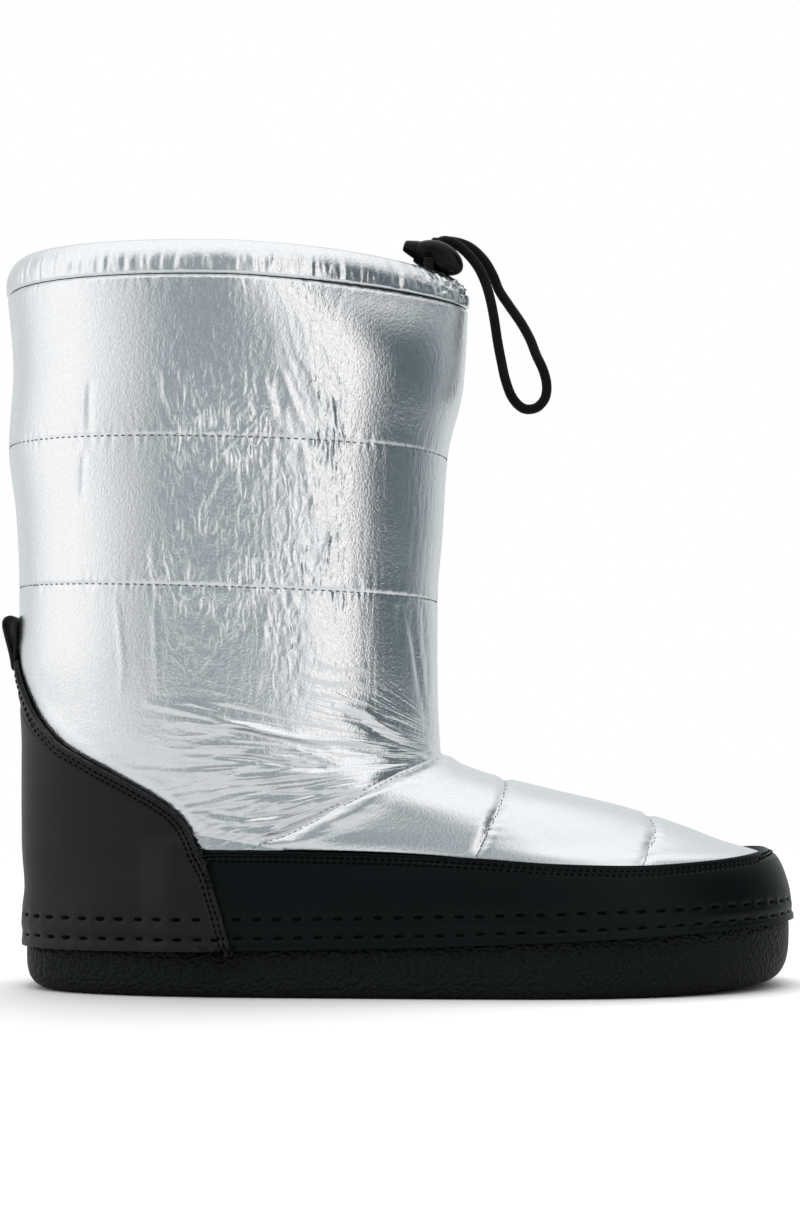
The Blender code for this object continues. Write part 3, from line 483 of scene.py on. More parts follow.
class Bench:
    """A node tree, with the few moves that its finish is made by."""

    def __init__(self, tree):
        self.tree, self.join = tree, tree.links.new

    def put(self, value, socket):
        """Joins a socket to another, or sets it to a value."""
        if isinstance(value, bpy.types.NodeSocket):
            self.join(value, socket)
        else:
            socket.default_value = value

    def add(self, kind, **settings):
        node = self.tree.nodes.new("ShaderNode" + kind)
        for key, value in settings.items():
            if key in node.inputs:
                self.put(value, node.inputs[key])
            else:
                setattr(node, key, value)
        return node

    def pattern(self, kind, stretch=(1, 1, 1), **settings):
        """The height of a texture on the piece's own coordinates, with a scale for each axis."""
        place = self.add("Mapping", Scale=stretch, Vector=self.add("TexCoord").outputs["Object"])
        texture = self.add("Tex" + kind, Vector=place.outputs["Vector"], **settings)
        return texture.outputs["Distance" if kind == "Voronoi" else "Fac"]

    def math(self, kind, first, second=0.0):
        node = self.add("Math", operation=kind)
        self.put(first, node.inputs[0])
        self.put(second, node.inputs[1])
        return node.outputs["Value"]

    def spread(self, value, low, high, first, last, **settings):
        """Carries a value from one range to another."""
        ends = {"From Min": low, "From Max": high, "To Min": first, "To Max": last}
        return self.add("MapRange", Value=value, **ends, **settings).outputs["Result"]

    def ramp(self, factor, low, high, dark, light):
        node = self.add("ValToRGB", Fac=factor)
        for stop, place, colour in zip(node.color_ramp.elements, (low, high), (dark, light)):
            stop.position, stop.color = place, (*colour, 1)
        return node.outputs["Color"]

    def relief(self, height, strength, depth, **under):
        """A bump of a depth in metres, over another one where there is one."""
        return self.add("Bump", Height=height, Strength=strength, Distance=depth, **under).outputs["Normal"]

    def finish(self, sockets):
        for name, value in sockets.items():
            self.put(value, self.tree.nodes["Principled BSDF"].inputs[name])


def new_finish(name):
    """A node material, and the bench for its tree."""
    material = bpy.data.materials.new(name)
    material.use_nodes = True
    return material, Bench(material.node_tree)


silver_foil, foil = new_finish("silver_foil")
mottle = foil.pattern("Noise", (1, 1, 0.8), Scale=1300.0, Detail=3.0, Roughness=0.6)
patches = foil.pattern("Noise", (1, 1, 0.8), Scale=24.0, Detail=2.0)
upright = foil.pattern("Noise", (300, 300, 130), Scale=1.0, Detail=1.2, Roughness=0.5, Distortion=0.25)
crinkle, worn = (foil.add("Attribute", attribute_name=name).outputs["Fac"] for name in ("crinkle", "worn"))
folds = foil.add("Attribute", attribute_name="folds").outputs["Vector"]
fan_depth = foil.add("SeparateXYZ", Vector=folds).outputs["Z"]
fanned = foil.add("TexNoise", noise_dimensions="2D", Vector=folds, Scale=0.4, Detail=1.0, Roughness=0.45).outputs["Fac"]
depth = 0.0
for height, strength in ((upright, crinkle), (fanned, fan_depth)):
    sharp = foil.math("ABSOLUTE", foil.math("SUBTRACT", height, 0.5))
    depth = foil.math("SUBTRACT", depth, foil.math("MULTIPLY", sharp, strength))
hazy = foil.math("POWER", worn, 2.0)
grain = foil.math("MULTIPLY", mottle, foil.math("ADD", foil.math("MULTIPLY", hazy, -0.42), 0.72))
gloss = foil.math("ADD", foil.math("MULTIPLY", patches, 0.6), foil.math("MULTIPLY", mottle, 0.4))
foil.finish({
    "Base Color": foil.ramp(mottle, 0.35, 0.7, (0.775, 0.80, 0.82), (0.86, 0.875, 0.89)),
    "Metallic": 1.0,
    "Roughness": foil.math("ADD", foil.spread(gloss, 0.3, 0.7, 0.12, 0.2), foil.math("MULTIPLY", hazy, 0.12)),
    "Normal": foil.relief(grain, 0.5, 0.0004, Normal=foil.relief(depth, 0.7, 0.0022)),
})

shell_mesh = fitted_grid(SHELL_COLUMNS, SHELL_ROWS, shell_place, shell_crinkle)
shell = make_piece("quilted_shell", shell_mesh, silver_foil, "boot")
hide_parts("upper")

# Lining
# A soft grey pile fabric lines the shaft and foot. It lies inside the padded wall and meets the casing at the top.
WALL = 5.5
LINING_LOW = 0.8
LINING_TUCK, LINING_HEM = 1.3, 0.3
LINING_GRID = (150, 110)


def lining_place(around, up):
    level = LINING_LOW + (COLLAR_LEVEL - LINING_LOW) * up
    angle = angle_of(level, around)
    points = skin_at(level, angle)
    hemmed = smooth_step(level, COLLAR_LEVEL - LINING_HEM, COLLAR_LEVEL)
    ripple = 0.5 * crumple(points, (14.0, 14.0, 22.0), 7.7) * (1 - hemmed)
    points -= skin_out(level, angle) * (WALL + ripple + LINING_TUCK * hemmed)[:, None]
    points[:, 2] += LINING_TUCK * hemmed
    return points


grey_pile, pile = new_finish("grey_pile")
fibre = pile.pattern("Noise", Scale=900.0, Detail=4.0, Roughness=0.7)
tufts = pile.pattern("Voronoi", Scale=420.0)
pile.finish({
    "Base Color": pile.ramp(fibre, 0, 1, (0.10, 0.10, 0.105), (0.36, 0.36, 0.37)),
    "Roughness": 0.95,
    "Sheen Weight": 0.4,
    "Normal": pile.relief(pile.math("SUBTRACT", fibre, pile.math("MULTIPLY", tufts, 0.8)), 0.8, 0.0012),
})
make_piece("pile_lining", fitted_grid(*LINING_GRID, lining_place), grey_pile, "boot")

# Footbed
# A felt-covered insole board, cut a little smaller than the inside of the upper and laid on the sole.
FOOTBED_EDGE = 1.2
footbed_shape = bmesh.new()
footbed_shape.from_mesh(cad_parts["footbed"].data)
bmesh.ops.remove_doubles(footbed_shape, verts=footbed_shape.verts, dist=1e-6)
bmesh.ops.dissolve_limit(
    footbed_shape, angle_limit=math.radians(1), verts=footbed_shape.verts, edges=footbed_shape.edges
)
footbed_rim = [e for e in footbed_shape.edges if len(e.link_faces) == 2 and e.calc_face_angle() > math.radians(60)]
bmesh.ops.bevel(
    footbed_shape, geom=footbed_rim, offset=FOOTBED_EDGE * MM, affect="EDGES", segments=3, profile=0.5, material=-1
)
bmesh.ops.triangulate(footbed_shape, faces=[f for f in footbed_shape.faces if len(f.verts) > 4])
footbed = make_piece("felt_footbed", footbed_shape, grey_pile, "boot", sharp=50)
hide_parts("footbed")

# Outsole
# The rubber cup sole is moulded in one piece: a stippled side with a rounded lower edge, toe spring, and straight
# grooves across the heel and forefoot. It is cemented and stitched under the leather's hem.
SOLE_LENGTH = 280.0
LEATHER = 1.8
HEEL_LINE_Z, TOE_LINE_Z = 15.0, 24.0
TOE_SPRING, SPRING_START_X, SPRING_STEP = 2.6, 214.0, 6.0
SIDEWALL_REACH, SIDE_TUCK, SIDE_FLARE = -1.2, 0.42, 5.0
SIDEWALL = [(0.0, 10.5), (0.05, 6.4), (0.17, 3.2), (0.36, 1.2), (0.60, 0.3), (0.93, 0.0), (1.0, 0.3)]
sidewall_inset = track(*zip(*SIDEWALL))
SOLE_COLUMNS, SOLE_ROWS, SOLE_CROWDING = 300, 30, 1.6
TREAD_WIDTH, TREAD_DEPTH, TREAD_RIM = 4.5, 3.0, 15.0
TREAD_X = (22, 35, 48, 61, 74, 126, 140, 154, 168, 182, 196, 210, 224)


def feather_line_z(x):
    return HEEL_LINE_Z + (TOE_LINE_Z - HEEL_LINE_Z) * (np.clip(x, 0, None) / SOLE_LENGTH) ** 2


def sole_floor_z(x):
    return TOE_SPRING * np.clip((x - SPRING_START_X) / (SOLE_LENGTH - SPRING_START_X), 0, None) ** 2


def sole_ring(around, height):
    """The sole's outline at a share of its height: tucked in under the heel and toe, and flared along the sides."""
    level = np.zeros(len(around))
    angle = angle_of(level, around)
    flat = unit(skin_out(level, angle) * (1, 1, 0))
    end = np.abs(flat[:, 0])
    tuck = sidewall_inset(height) * (SIDE_TUCK + (1 - SIDE_TUCK) * end)
    flare = SIDE_FLARE * (1 - height) * (1 - end) ** 0.5
    return skin_at(level, angle) + flat * (SEAT_GAP + LEATHER + SIDEWALL_REACH - tuck + flare)[:, None]


def sole_place(around, up):
    height = up ** SOLE_CROWDING
    points = sole_ring(-around, height)
    low, high = sole_floor_z(points[:, 0]), feather_line_z(points[:, 0])
    points[:, 2] = low + (high - low) * height
    return points


def cut_with(piece, shape):
    """Cuts a closed bmesh out of a piece and keeps the result as its mesh."""
    mesh = bpy.data.meshes.new("cutter")
    shape.to_mesh(mesh)
    shape.free()
    cutter = bpy.data.objects.new("cutter", mesh)
    scene.collection.objects.link(cutter)
    boolean = piece.modifiers.new("cut", "BOOLEAN")
    boolean.object = cutter
    boolean.operation = "DIFFERENCE"
    boolean.solver = "EXACT"
    made = bpy.data.meshes.new_from_object(piece.evaluated_get(bpy.context.evaluated_depsgraph_get()))
    piece.modifiers.clear()
    piece.data = made
    bpy.data.objects.remove(cutter)


black_rubber, rubber = new_finish("black_rubber")
stipple = rubber.pattern("Noise", Scale=780.0, Detail=3.0, Roughness=0.55)
pebbles = rubber.pattern("Voronoi", Scale=640.0)
rubber.finish({
    "Base Color": rubber.ramp(stipple, 0, 1, (0.0006, 0.0007, 0.0008), (0.0030, 0.0033, 0.0036)),
    "Roughness": rubber.spread(stipple, 0, 1, 0.36, 0.52),
    "Specular IOR Level": 0.17,
    "Specular Tint": (0.86, 1.0, 1.05, 1),
    "Normal": rubber.relief(rubber.math("SUBTRACT", stipple, rubber.math("MULTIPLY", pebbles, 0.7)), 1.0, 0.0012),
})

sole_shape = fitted_grid(SOLE_COLUMNS, SOLE_ROWS, sole_place)
bmesh.ops.holes_fill(sole_shape, edges=[e for e in sole_shape.edges if e.is_boundary], sides=0)
for x in np.arange(SPRING_START_X, SOLE_LENGTH - SPRING_STEP, SPRING_STEP):
    under = [f for f in sole_shape.faces if len(f.verts) > 4 and f.calc_center_median().z < TOE_SPRING * MM]
    bmesh.ops.bisect_plane(
        sole_shape, geom=[*under, *{e for f in under for e in f.edges}, *{v for f in under for v in f.verts}],
        plane_co=Vector(to_frame((x, 0, 0))), plane_no=(1, 0, 0),
    )
bmesh.ops.recalc_face_normals(sole_shape, faces=sole_shape.faces)
sole = make_piece("rubber_outsole", sole_shape, black_rubber, "boot", sharp=45)
tread_shape = bmesh.new()
rim_line = sole_ring(np.linspace(0, 1, 721), np.ones(721))
for x in TREAD_X:
    beside = rim_line[np.abs(rim_line[:, 0] - x) < 3, 1]
    low_y, high_y = beside.min() + TREAD_RIM, beside.max() - TREAD_RIM
    middle = Vector(to_frame((x, (low_y + high_y) / 2, float(sole_floor_z(x)))))
    size = Matrix.Diagonal((TREAD_WIDTH * MM, (high_y - low_y) * MM, 2 * TREAD_DEPTH * MM, 1))
    bmesh.ops.create_cube(tread_shape, size=1, matrix=Matrix.Translation(middle) @ size)
cut_with(sole, tread_shape)
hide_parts("outsole")

# Mudguard
# A band of smooth black leather wraps the foot from the counter round the toe. Two rows of thick thread through its
# hem hold it to the sole, and its top edge is sewn down on the quilt.
LEVEL_HEIGHT = 9.6
HEM = [(0, 0.7), (2.2, 0.6), (4.4, 0.0), (7.6, 0.15), (10.8, -0.05), (14.5, 0.05), (19.2, 0), (200, 0)]
hem_swell = track(*zip(*HEM))
HEM_ROWS, HEM_STITCHES, HEM_PITCH, HEM_BLEND = (4.4, 10.8), 94, 7.1, 0.12
HEM_DENT, HEM_DENT_LENGTH, HEM_DENT_HEIGHT = 0.45, 2.4, 1.2
EDGE_ROWS, EDGE_PITCH = (1.9, 3.5), 2.3
EDGE_GROOVE, EDGE_GROOVE_WIDTH, EDGE_ROUND = 0.4, 0.5, 0.45
MUDGUARD_BACK_X, GUARD_LEVEL = 60.5, 5.0
MUDGUARD_COLUMNS, MUDGUARD_ROWS, GUARD_CROWDING = 560, 64, 1.3


def leather_point(level, turn, lap=0.0):
    """The leather's outer face: the skin, the leather's own thickness, the hem's beads, and a dent at each thick
    stitch."""
    angle = angle_of(level, turn)
    height = level * LEVEL_HEIGHT
    place = np.mod(turn, 1) * HEM_STITCHES
    beside = (place - np.floor(place) - 0.5) * HEM_PITCH
    rows = sum(np.exp(-((height - row) / HEM_DENT_HEIGHT) ** 2) for row in HEM_ROWS)
    dent = HEM_DENT * rows * np.exp(-(beside / HEM_DENT_LENGTH) ** 4)
    lift = SEAT_GAP + LEATHER + hem_swell(height) + lap - dent
    points = skin_at(level, angle) + skin_out(level, angle) * lift[..., None]
    hem = smooth_step(level, 0.0, HEM_BLEND)
    points[..., 2] = points[..., 2] * hem + (feather_line_z(points[..., 0]) + SEAT_GAP) * (1 - hem)
    return points


def edge_groove(gap):
    """The thread pulls a groove into the leather along each row beside its edge."""
    return -EDGE_GROOVE * sum(np.exp(-((gap - row) / EDGE_GROOVE_WIDTH) ** 2) for row in EDGE_ROWS)


def top_level(around, edge, highest):
    """The level at which each column of the skin reaches an edge drawn in side view."""
    low, high = np.zeros(len(around)), np.full(len(around), float(highest))
    for _ in range(36):
        middle = (low + high) / 2
        points = skin_around(middle, around)
        below = points[:, 2] < edge(points[:, 0])
        low, high = np.where(below, middle, low), np.where(below, high, middle)
    return low


def share_where(x, level, medial):
    """How far round the ring the skin passes a place along the foot."""
    shares = np.linspace(1 if medial else 0, 0.5, 2001)
    levels = np.full(2001, float(level))
    return float(np.interp(-x, -skin_around(levels, shares)[:, 0], shares))


guard_lateral = share_where(MUDGUARD_BACK_X, 2, False)
guard_medial = share_where(MUDGUARD_BACK_X, 2, True) - 1


def mudguard_place(around, up):
    turn = guard_lateral + (guard_medial - guard_lateral) * around
    top = top_level(turn, mudguard_edge_z, GUARD_LEVEL)
    level = (1 - (1 - up) ** GUARD_CROWDING) * top
    gap = np.linalg.norm(leather_point(level, turn) - leather_point(top, turn), axis=1)
    return leather_point(level, turn, edge_groove(gap))


surface_grain = bpy.data.node_groups.new("surface_grain", "ShaderNodeTree")
for way, names in (("INPUT", ("Cells", "Fine", "Depth")), ("OUTPUT", ("Height", "Mask"))):
    for name in names:
        surface_grain.interface.new_socket(name, in_out=way, socket_type="NodeSocketFloat")
grain = Bench(surface_grain)
given, made = (surface_grain.nodes.new(kind) for kind in ("NodeGroupInput", "NodeGroupOutput"))
cells = grain.pattern("Voronoi", Scale=given.outputs["Cells"])
fine = grain.pattern("Noise", Scale=given.outputs["Fine"])
grain.join(grain.math("ADD", grain.math("MULTIPLY", cells, given.outputs["Depth"]), fine), made.inputs["Height"])
grain.join(grain.pattern("Noise", Scale=34.0), made.inputs["Mask"])


def grained_finish(name, dark, light, gloss, cells, fine, depth, relief, **sockets):
    """A finish with the shared grain: colour and gloss drift slowly over it, and its relief is in metres."""
    material, bench = new_finish(name)
    group = bench.add("Group", node_tree=surface_grain, Cells=cells, Fine=fine, Depth=depth)
    bench.finish({
        "Base Color": bench.ramp(group.outputs["Mask"], 0.35, 0.65, dark, light),
        "Roughness": bench.spread(group.outputs["Mask"], 0.3, 0.7, *gloss),
        "Normal": bench.relief(group.outputs["Height"], 0.5, relief),
        **sockets,
    })
    return material


LEATHER_GRAIN = (1500, 3600, 0.5, 0.00012)
black_leather = grained_finish(
    "black_leather", (0.0010, 0.0012, 0.0014), (0.0018, 0.0021, 0.0025), (0.40, 0.32), *LEATHER_GRAIN,
    **{"Specular IOR Level": 0.14, "Specular Tint": (0.84, 1.0, 1.04, 1)},
)


def thicken(piece, thickness, rounding):
    """Gives a sheet its thickness inwards, and rounds its cut edges."""
    solid = piece.modifiers.new("thickness", "SOLIDIFY")
    solid.thickness = thickness
    solid.offset = -1
    solid.use_even_offset = False
    soft = piece.modifiers.new("rounding", "BEVEL")
    soft.width = rounding
    soft.segments = 3
    soft.limit_method = "ANGLE"
    soft.angle_limit = math.radians(55)


mudguard_mesh = fitted_grid(MUDGUARD_COLUMNS, MUDGUARD_ROWS, mudguard_place)
mudguard = make_piece("leather_mudguard", mudguard_mesh, black_leather, "boot", sharp=60)
thicken(mudguard, LEATHER * MM, EDGE_ROUND * MM)
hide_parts("mudguard")

# Heel counter
# A second piece of the same leather cups the heel and runs up the back in a narrow strip. Its front edge laps over
# the mudguard, and it is sewn down along the whole edge.
COUNTER_CORNER_Z, COUNTER_FOOT, COUNTER_LOW_Z = 54.0, (80.6, 14.8), 14.9
LAP, LAP_RISE_X, LAP_FALL_Z = 1.95, (46, 60), (50, 58)
COUNTER_COLUMNS, COUNTER_ROWS, COUNTER_CROWDING = 300, 110, 1.6


def place_on_skin(x, z, medial=False):
    """Where on the skin points of the side view lie: their shares of the way round, and their levels."""
    x, z = np.asarray(x, float), np.asarray(z, float)
    share = np.full(len(x), 0.25)
    for _ in range(6):
        low, high = np.zeros(len(x)), np.full(len(x), float(COLLAR_LEVEL))
        for _ in range(26):
            level = (low + high) / 2
            below = skin_around(level, 1 - share if medial else share)[:, 2] < z
            low, high = np.where(below, level, low), np.where(below, high, level)
        toe, heel = np.zeros(len(x)), np.full(len(x), 0.5)
        for _ in range(26):
            share = (toe + heel) / 2
            ahead = skin_around(level, 1 - share if medial else share)[:, 0] > x
            toe, heel = np.where(ahead, share, toe), np.where(ahead, heel, share)
    return (1 - share if medial else share), level


def smooth_outline(points, step):
    """Points a step apart along a smooth line through the given ones, in side view."""
    return smooth_route([(x, 0, z) for x, z in points], step)[:, [0, 2]]


def eased(a, b, c, d, t):
    """A share of the way from b to c on a smooth curve through four points."""
    return 0.5 * (2 * b + t * (c - a) + t * t * (2 * a - 5 * b + 4 * c - d) + t ** 3 * (3 * b - a - 3 * c + d))


def smooth_route(points, step):
    """Points a step apart on a smooth curve through the given ones."""
    points = np.array(points, float)
    ends = np.concatenate(([2 * points[0] - points[1]], points, [2 * points[-1] - points[-2]]))
    path = []
    for a, b, c, d in zip(ends, ends[1:], ends[2:], ends[3:]):
        for t in np.linspace(0, 1, 24, endpoint=False):
            path.append(eased(a, b, c, d, t))
    path = np.array([*path, points[-1]])
    lengths = run_along(path)
    places = np.linspace(0, lengths[-1], max(2, round(lengths[-1] / step)) + 1)
    return np.stack([np.interp(places, lengths, path[:, k]) for k in range(3)], axis=-1)


def counter_lap(points):
    """How far the counter is lifted where the mudguard lies under it."""
    return LAP * smooth_step(points[:, 0], *LAP_RISE_X) * (1 - smooth_step(points[:, 2], *LAP_FALL_Z))


counter_edges = {}
for medial in (False, True):
    outline = smooth_outline([*COUNTER_EDGE, COUNTER_FOOT], 0.25)
    turn, level = place_on_skin(outline[:, 0], np.maximum(outline[:, 1], COUNTER_LOW_Z), medial)
    turn[0] = 0.5
    corner = int(np.argmin(np.abs(outline[:, 1] - COUNTER_CORNER_Z)))
    counter_edges[medial] = (turn, level, corner)


def edge_at(medial, place):
    """The counter's edge: how far round and how high it is at a place along it."""
    turn, level, _ = counter_edges[medial]
    return np.interp(place, np.arange(len(turn)), turn), np.interp(place, np.arange(len(turn)), level)


def counter_half(medial, forward, up):
    """A patch between the hem, the heel's middle, the slanting front edge and the long top edge."""
    turn, level, corner = counter_edges[medial]
    last = len(turn) - 1
    top, front = edge_at(medial, forward * corner), edge_at(medial, last - up * (last - corner))
    hem = 0.5 + (turn[-1] - 0.5) * forward
    made = []
    for k, (low, high_back) in enumerate(((hem, 0.5), (0 * hem, level[0] * up))):
        corners = ((0.5, turn[-1], turn[0], turn[corner]), (0, 0, level[0], level[corner]))[k]
        back = high_back + 0 * up
        made.append(
            (1 - up) * low + up * top[k] + (1 - forward) * back + forward * front[k]
            - ((1 - forward) * (1 - up) * corners[0] + forward * (1 - up) * corners[1]
               + (1 - forward) * up * corners[2] + forward * up * corners[3])
        )
    return made


def counter_place(around, up):
    forward, up = (1 - (1 - share) ** COUNTER_CROWDING for share in (np.abs(2 * around - 1), up))
    lateral, medial = counter_half(False, forward, up), counter_half(True, forward, up)
    turn, level = (np.where(around > 0.5, a, b) for a, b in zip(lateral, medial))
    level = np.clip(level, 0, COLLAR_LEVEL)
    points = skin_around(level, turn)
    gap, _ = distance_to(points[:, [0, 2]], smooth_outline(COUNTER_EDGE, 3.0))
    return leather_point(level, turn, counter_lap(points) + edge_groove(gap))


# The counter is the same leather as the mudguard, given a lighter colour and a stronger gloss: painted light, for the
# brighter reflection its side catches from the wall on the left.
counter_leather_painted_lighter = grained_finish(
    "counter_leather_painted_lighter", (0.0030, 0.0033, 0.0040), (0.0046, 0.0050, 0.0060), (0.46, 0.38), *LEATHER_GRAIN,
    **{"Specular IOR Level": 0.27, "Specular Tint": (0.94, 1.0, 1.06, 1)},
)
counter_mesh = fitted_grid(COUNTER_COLUMNS, COUNTER_ROWS, counter_place)
counter = make_piece("leather_counter", counter_mesh, counter_leather_painted_lighter, "boot", sharp=60)
thicken(counter, LEATHER * MM, EDGE_ROUND * MM)
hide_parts("heel_counter")

# Thread
# Bonded thread: two fine black rows along each leather edge, two thick ones through the hem and the sole, and one grey
# row along each quilting seam. Every stitch is a short length of thread that dips into the surface at its ends. The
# thick hem stitches are flat, near-black, almost unglossy patches as long and wide as their holes: black thread with
# the holes' painted shade.
QUILT_PITCH = 2.6
EDGE_STITCH, HEM_STITCH = (1.8, 0.85, 0.6), (4.5, 1.9, 0.75)
HEM_STITCH_SINK, HEM_STITCH_CLEAR = 0.1, 3
EDGE_STITCH_BACK_X, COUNTER_STITCH_LOW_Z, COUNTER_STITCH_HIGH_Z = 72, 17, 113
QUILT_STITCH, VAMP_STITCH, VAMP_STITCH_CLEAR = (1.5, 0.6, 0.5), (1.4, 0.42, 0.3), 0.5
THREAD_GRAIN = (2600, 5200, 0.4, 0.00006)
# Near-black and almost without gloss: real black thread, carrying the painted shade of the stitch holes in the thick
# hem stitches.
black_thread_and_hole_shade = grained_finish(
    "black_thread_and_hole_shade", (0.0004, 0.0004, 0.0005), (0.0010, 0.0010, 0.0011), (0.7, 0.6), *THREAD_GRAIN,
    **{"Specular IOR Level": 0.04},
)
grey_thread = grained_finish("grey_thread", (0.11, 0.115, 0.13), (0.20, 0.21, 0.23), (0.6, 0.5), *THREAD_GRAIN)


def surface_of(piece):
    return BVHTree.FromObject(piece, bpy.context.evaluated_depsgraph_get())


stitch_shape = bmesh.new()
bmesh.ops.create_uvsphere(stitch_shape, u_segments=6, v_segments=6, radius=0.5)
bmesh.ops.rotate(stitch_shape, cent=(0, 0, 0), matrix=Matrix.Rotation(math.pi / 2, 3, "Y"), verts=stitch_shape.verts)
stitch_mesh = bpy.data.meshes.new("stitch")
stitch_shape.to_mesh(stitch_mesh)
stitch_shape.free()


def sew(shape, points, surfaces, count, size, sink=0.0):
    """Stitches evenly along a line that lies on a surface; size is a stitch's length, width and height, and sink is how
    deep its middle lies."""
    points = np.asarray(points)
    steps = np.arange(len(points))
    places = (np.arange(count) + 0.5) / count * steps[-1]
    middles, ends = (
        np.stack([np.interp(places + shift, steps, points[:, k]) for k in range(3)], axis=-1)
        for shift in (0, 0.3 * steps[-1] / count)
    )
    for middle, end in zip(middles, ends):
        top, out, _, _ = min((s.find_nearest(Vector(middle)) for s in surfaces), key=lambda hit: hit[3])
        along = Vector(end - middle)
        along = (along - along.dot(out) * out).normalized()
        turn = Matrix((along, out.cross(along), out)).transposed().to_4x4()
        stitch = stitch_mesh.copy()
        stitch.transform(Matrix.Translation(top - out * sink * MM) @ turn @ Matrix.Diagonal((*(Vector(size) * MM), 1)))
        shape.from_mesh(stitch)
        bpy.data.meshes.remove(stitch)


def stitch_count(line, pitch):
    return int(run_along(line)[-1] / pitch)


def inset_line(edge, outwards, inset):
    """A line that runs beside an edge on the surface, towards its inside."""
    return edge + inset * unit(np.cross(np.gradient(edge, axis=0), outwards))


edge_thread = bmesh.new()
guard_surface, counter_surface = surface_of(mudguard), surface_of(counter)
turn = np.linspace(guard_lateral, guard_medial, 900)
level = top_level(turn, mudguard_edge_z, GUARD_LEVEL)
guard_rim, guard_out = leather_point(level, turn), skin_out(level, angle_of(level, turn))
for inset in EDGE_ROWS:
    line = inset_line(guard_rim, guard_out, inset)
    line = line[line[:, 0] > EDGE_STITCH_BACK_X]
    sew(edge_thread, to_frame(line), [guard_surface], stitch_count(line, EDGE_PITCH), EDGE_STITCH)
for medial in (False, True):
    turn, level, _ = counter_edges[medial]
    angle = angle_of(level, turn)
    rim, out = leather_point(level, turn, counter_lap(skin_at(level, angle))), skin_out(level, angle)
    for inset in EDGE_ROWS:
        line = inset_line(rim, out, -inset if medial else inset)
        line = line[(line[:, 2] > COUNTER_STITCH_LOW_Z) & (line[:, 2] < COUNTER_STITCH_HIGH_Z)]
        sew(edge_thread, to_frame(line), [counter_surface], stitch_count(line, EDGE_PITCH), EDGE_STITCH)
make_piece("edge_stitches", edge_thread, black_thread_and_hole_shade, "boot")

# The thick hem stitches: flat black patches that hold both the thread and the painted shade of its holes.
hem_thread_and_hole_shade = bmesh.new()
for height in HEM_ROWS:
    turn = np.linspace(0, 1, 16 * HEM_STITCHES + 1)
    level = np.full(len(turn), height / LEVEL_HEIGHT)
    points = skin_around(level, turn)
    counter_front = np.interp(points[:, 2], *zip(*((z, x) for x, z in reversed(COUNTER_EDGE))))
    behind = points[:, 0] < counter_front - HEM_STITCH_CLEAR
    line = leather_point(level, turn, np.where(behind, counter_lap(points), 0))
    sew(hem_thread_and_hole_shade, to_frame(line), [guard_surface, counter_surface], HEM_STITCHES, HEM_STITCH, HEM_STITCH_SINK)
make_piece("hem_stitches_and_hole_shade", hem_thread_and_hole_shade, black_thread_and_hole_shade, "boot")

quilt_thread = bmesh.new()
shell_surface = surface_of(shell)
for quilt_level in QUILT_LEVELS:
    level = np.full(1600, float(quilt_level))
    line = skin_around(level, np.linspace(0, 1, 1600))
    sew(quilt_thread, to_frame(line), [shell_surface], stitch_count(line, QUILT_PITCH), QUILT_STITCH)
for seam in (ANKLE_SEAM, *VAMP_SEAMS):
    for medial in (False, True):
        outline = smooth_outline(seam, 0.5)
        turn, level = place_on_skin(outline[:, 0], outline[:, 1], medial)
        line = skin_around(level, turn)
        line = line[line[:, 2] > mudguard_edge_z(line[:, 0]) + VAMP_STITCH_CLEAR]
        sew(quilt_thread, to_frame(line), [shell_surface], stitch_count(line, QUILT_PITCH), VAMP_STITCH)
make_piece("quilt_stitches", quilt_thread, grey_thread, "boot")

# Pull loop
# A strip of black tape folded into a loop and caught under the top of the counter.
LOOP_TAPE, LOOP_WIDTH, LOOP_STEPS = 1.5, 18.0, 6
LOOP_LINE = [
    (-1.9, 113.5), (-2.2, 116.5), (-2.75, 119.5), (-3.8, 123.5), (-5.1, 128.5), (-5.4, 130.5), (-5.0, 132),
    (-3.9, 132.7), (-2.6, 132.9), (-1.6, 132.4), (-1.2, 131), (-1.15, 127), (-1.2, 122), (-1.5, 117.5), (-1.6, 113.5),
]
loop_shape = bmesh.new()
loop_verts = [loop_shape.verts.new(to_frame((x, -LOOP_WIDTH / 2, z))) for x, z in LOOP_LINE]
loop_edges = [loop_shape.edges.new(pair) for pair in zip(loop_verts, loop_verts[1:])]
for _ in range(LOOP_STEPS):
    pulled = bmesh.ops.extrude_edge_only(loop_shape, edges=loop_edges)["geom"]
    loop_edges = [g for g in pulled if isinstance(g, bmesh.types.BMEdge) and g.is_boundary
                  and abs(g.verts[0].co.y - g.verts[1].co.y) < 1e-7]
    moved = {v for g in loop_edges for v in g.verts}
    bmesh.ops.translate(loop_shape, vec=(0, LOOP_WIDTH / LOOP_STEPS * MM, 0), verts=list(moved))
bmesh.ops.recalc_face_normals(loop_shape, faces=loop_shape.faces)
black_tape, weave = new_finish("black_tape")
ribs = weave.pattern("Wave", wave_type="BANDS", bands_direction="Z", Scale=520.0, Distortion=0.6)
weave.finish({
    "Base Color": weave.ramp(ribs, 0, 1, (0.002, 0.002, 0.0022), (0.007, 0.007, 0.0075)),
    "Roughness": 0.7,
    "Normal": weave.relief(ribs, 0.7, 0.0003),
})
pull_loop = make_piece("tape_pull_loop", loop_shape, black_tape, "boot")
tape = pull_loop.modifiers.new("thickness", "SOLIDIFY")
tape.thickness = LOOP_TAPE * MM
tape.offset = 0
rounded = pull_loop.modifiers.new("smooth", "SUBSURF")
rounded.levels = rounded.render_levels = 2
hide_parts("pull_loop")

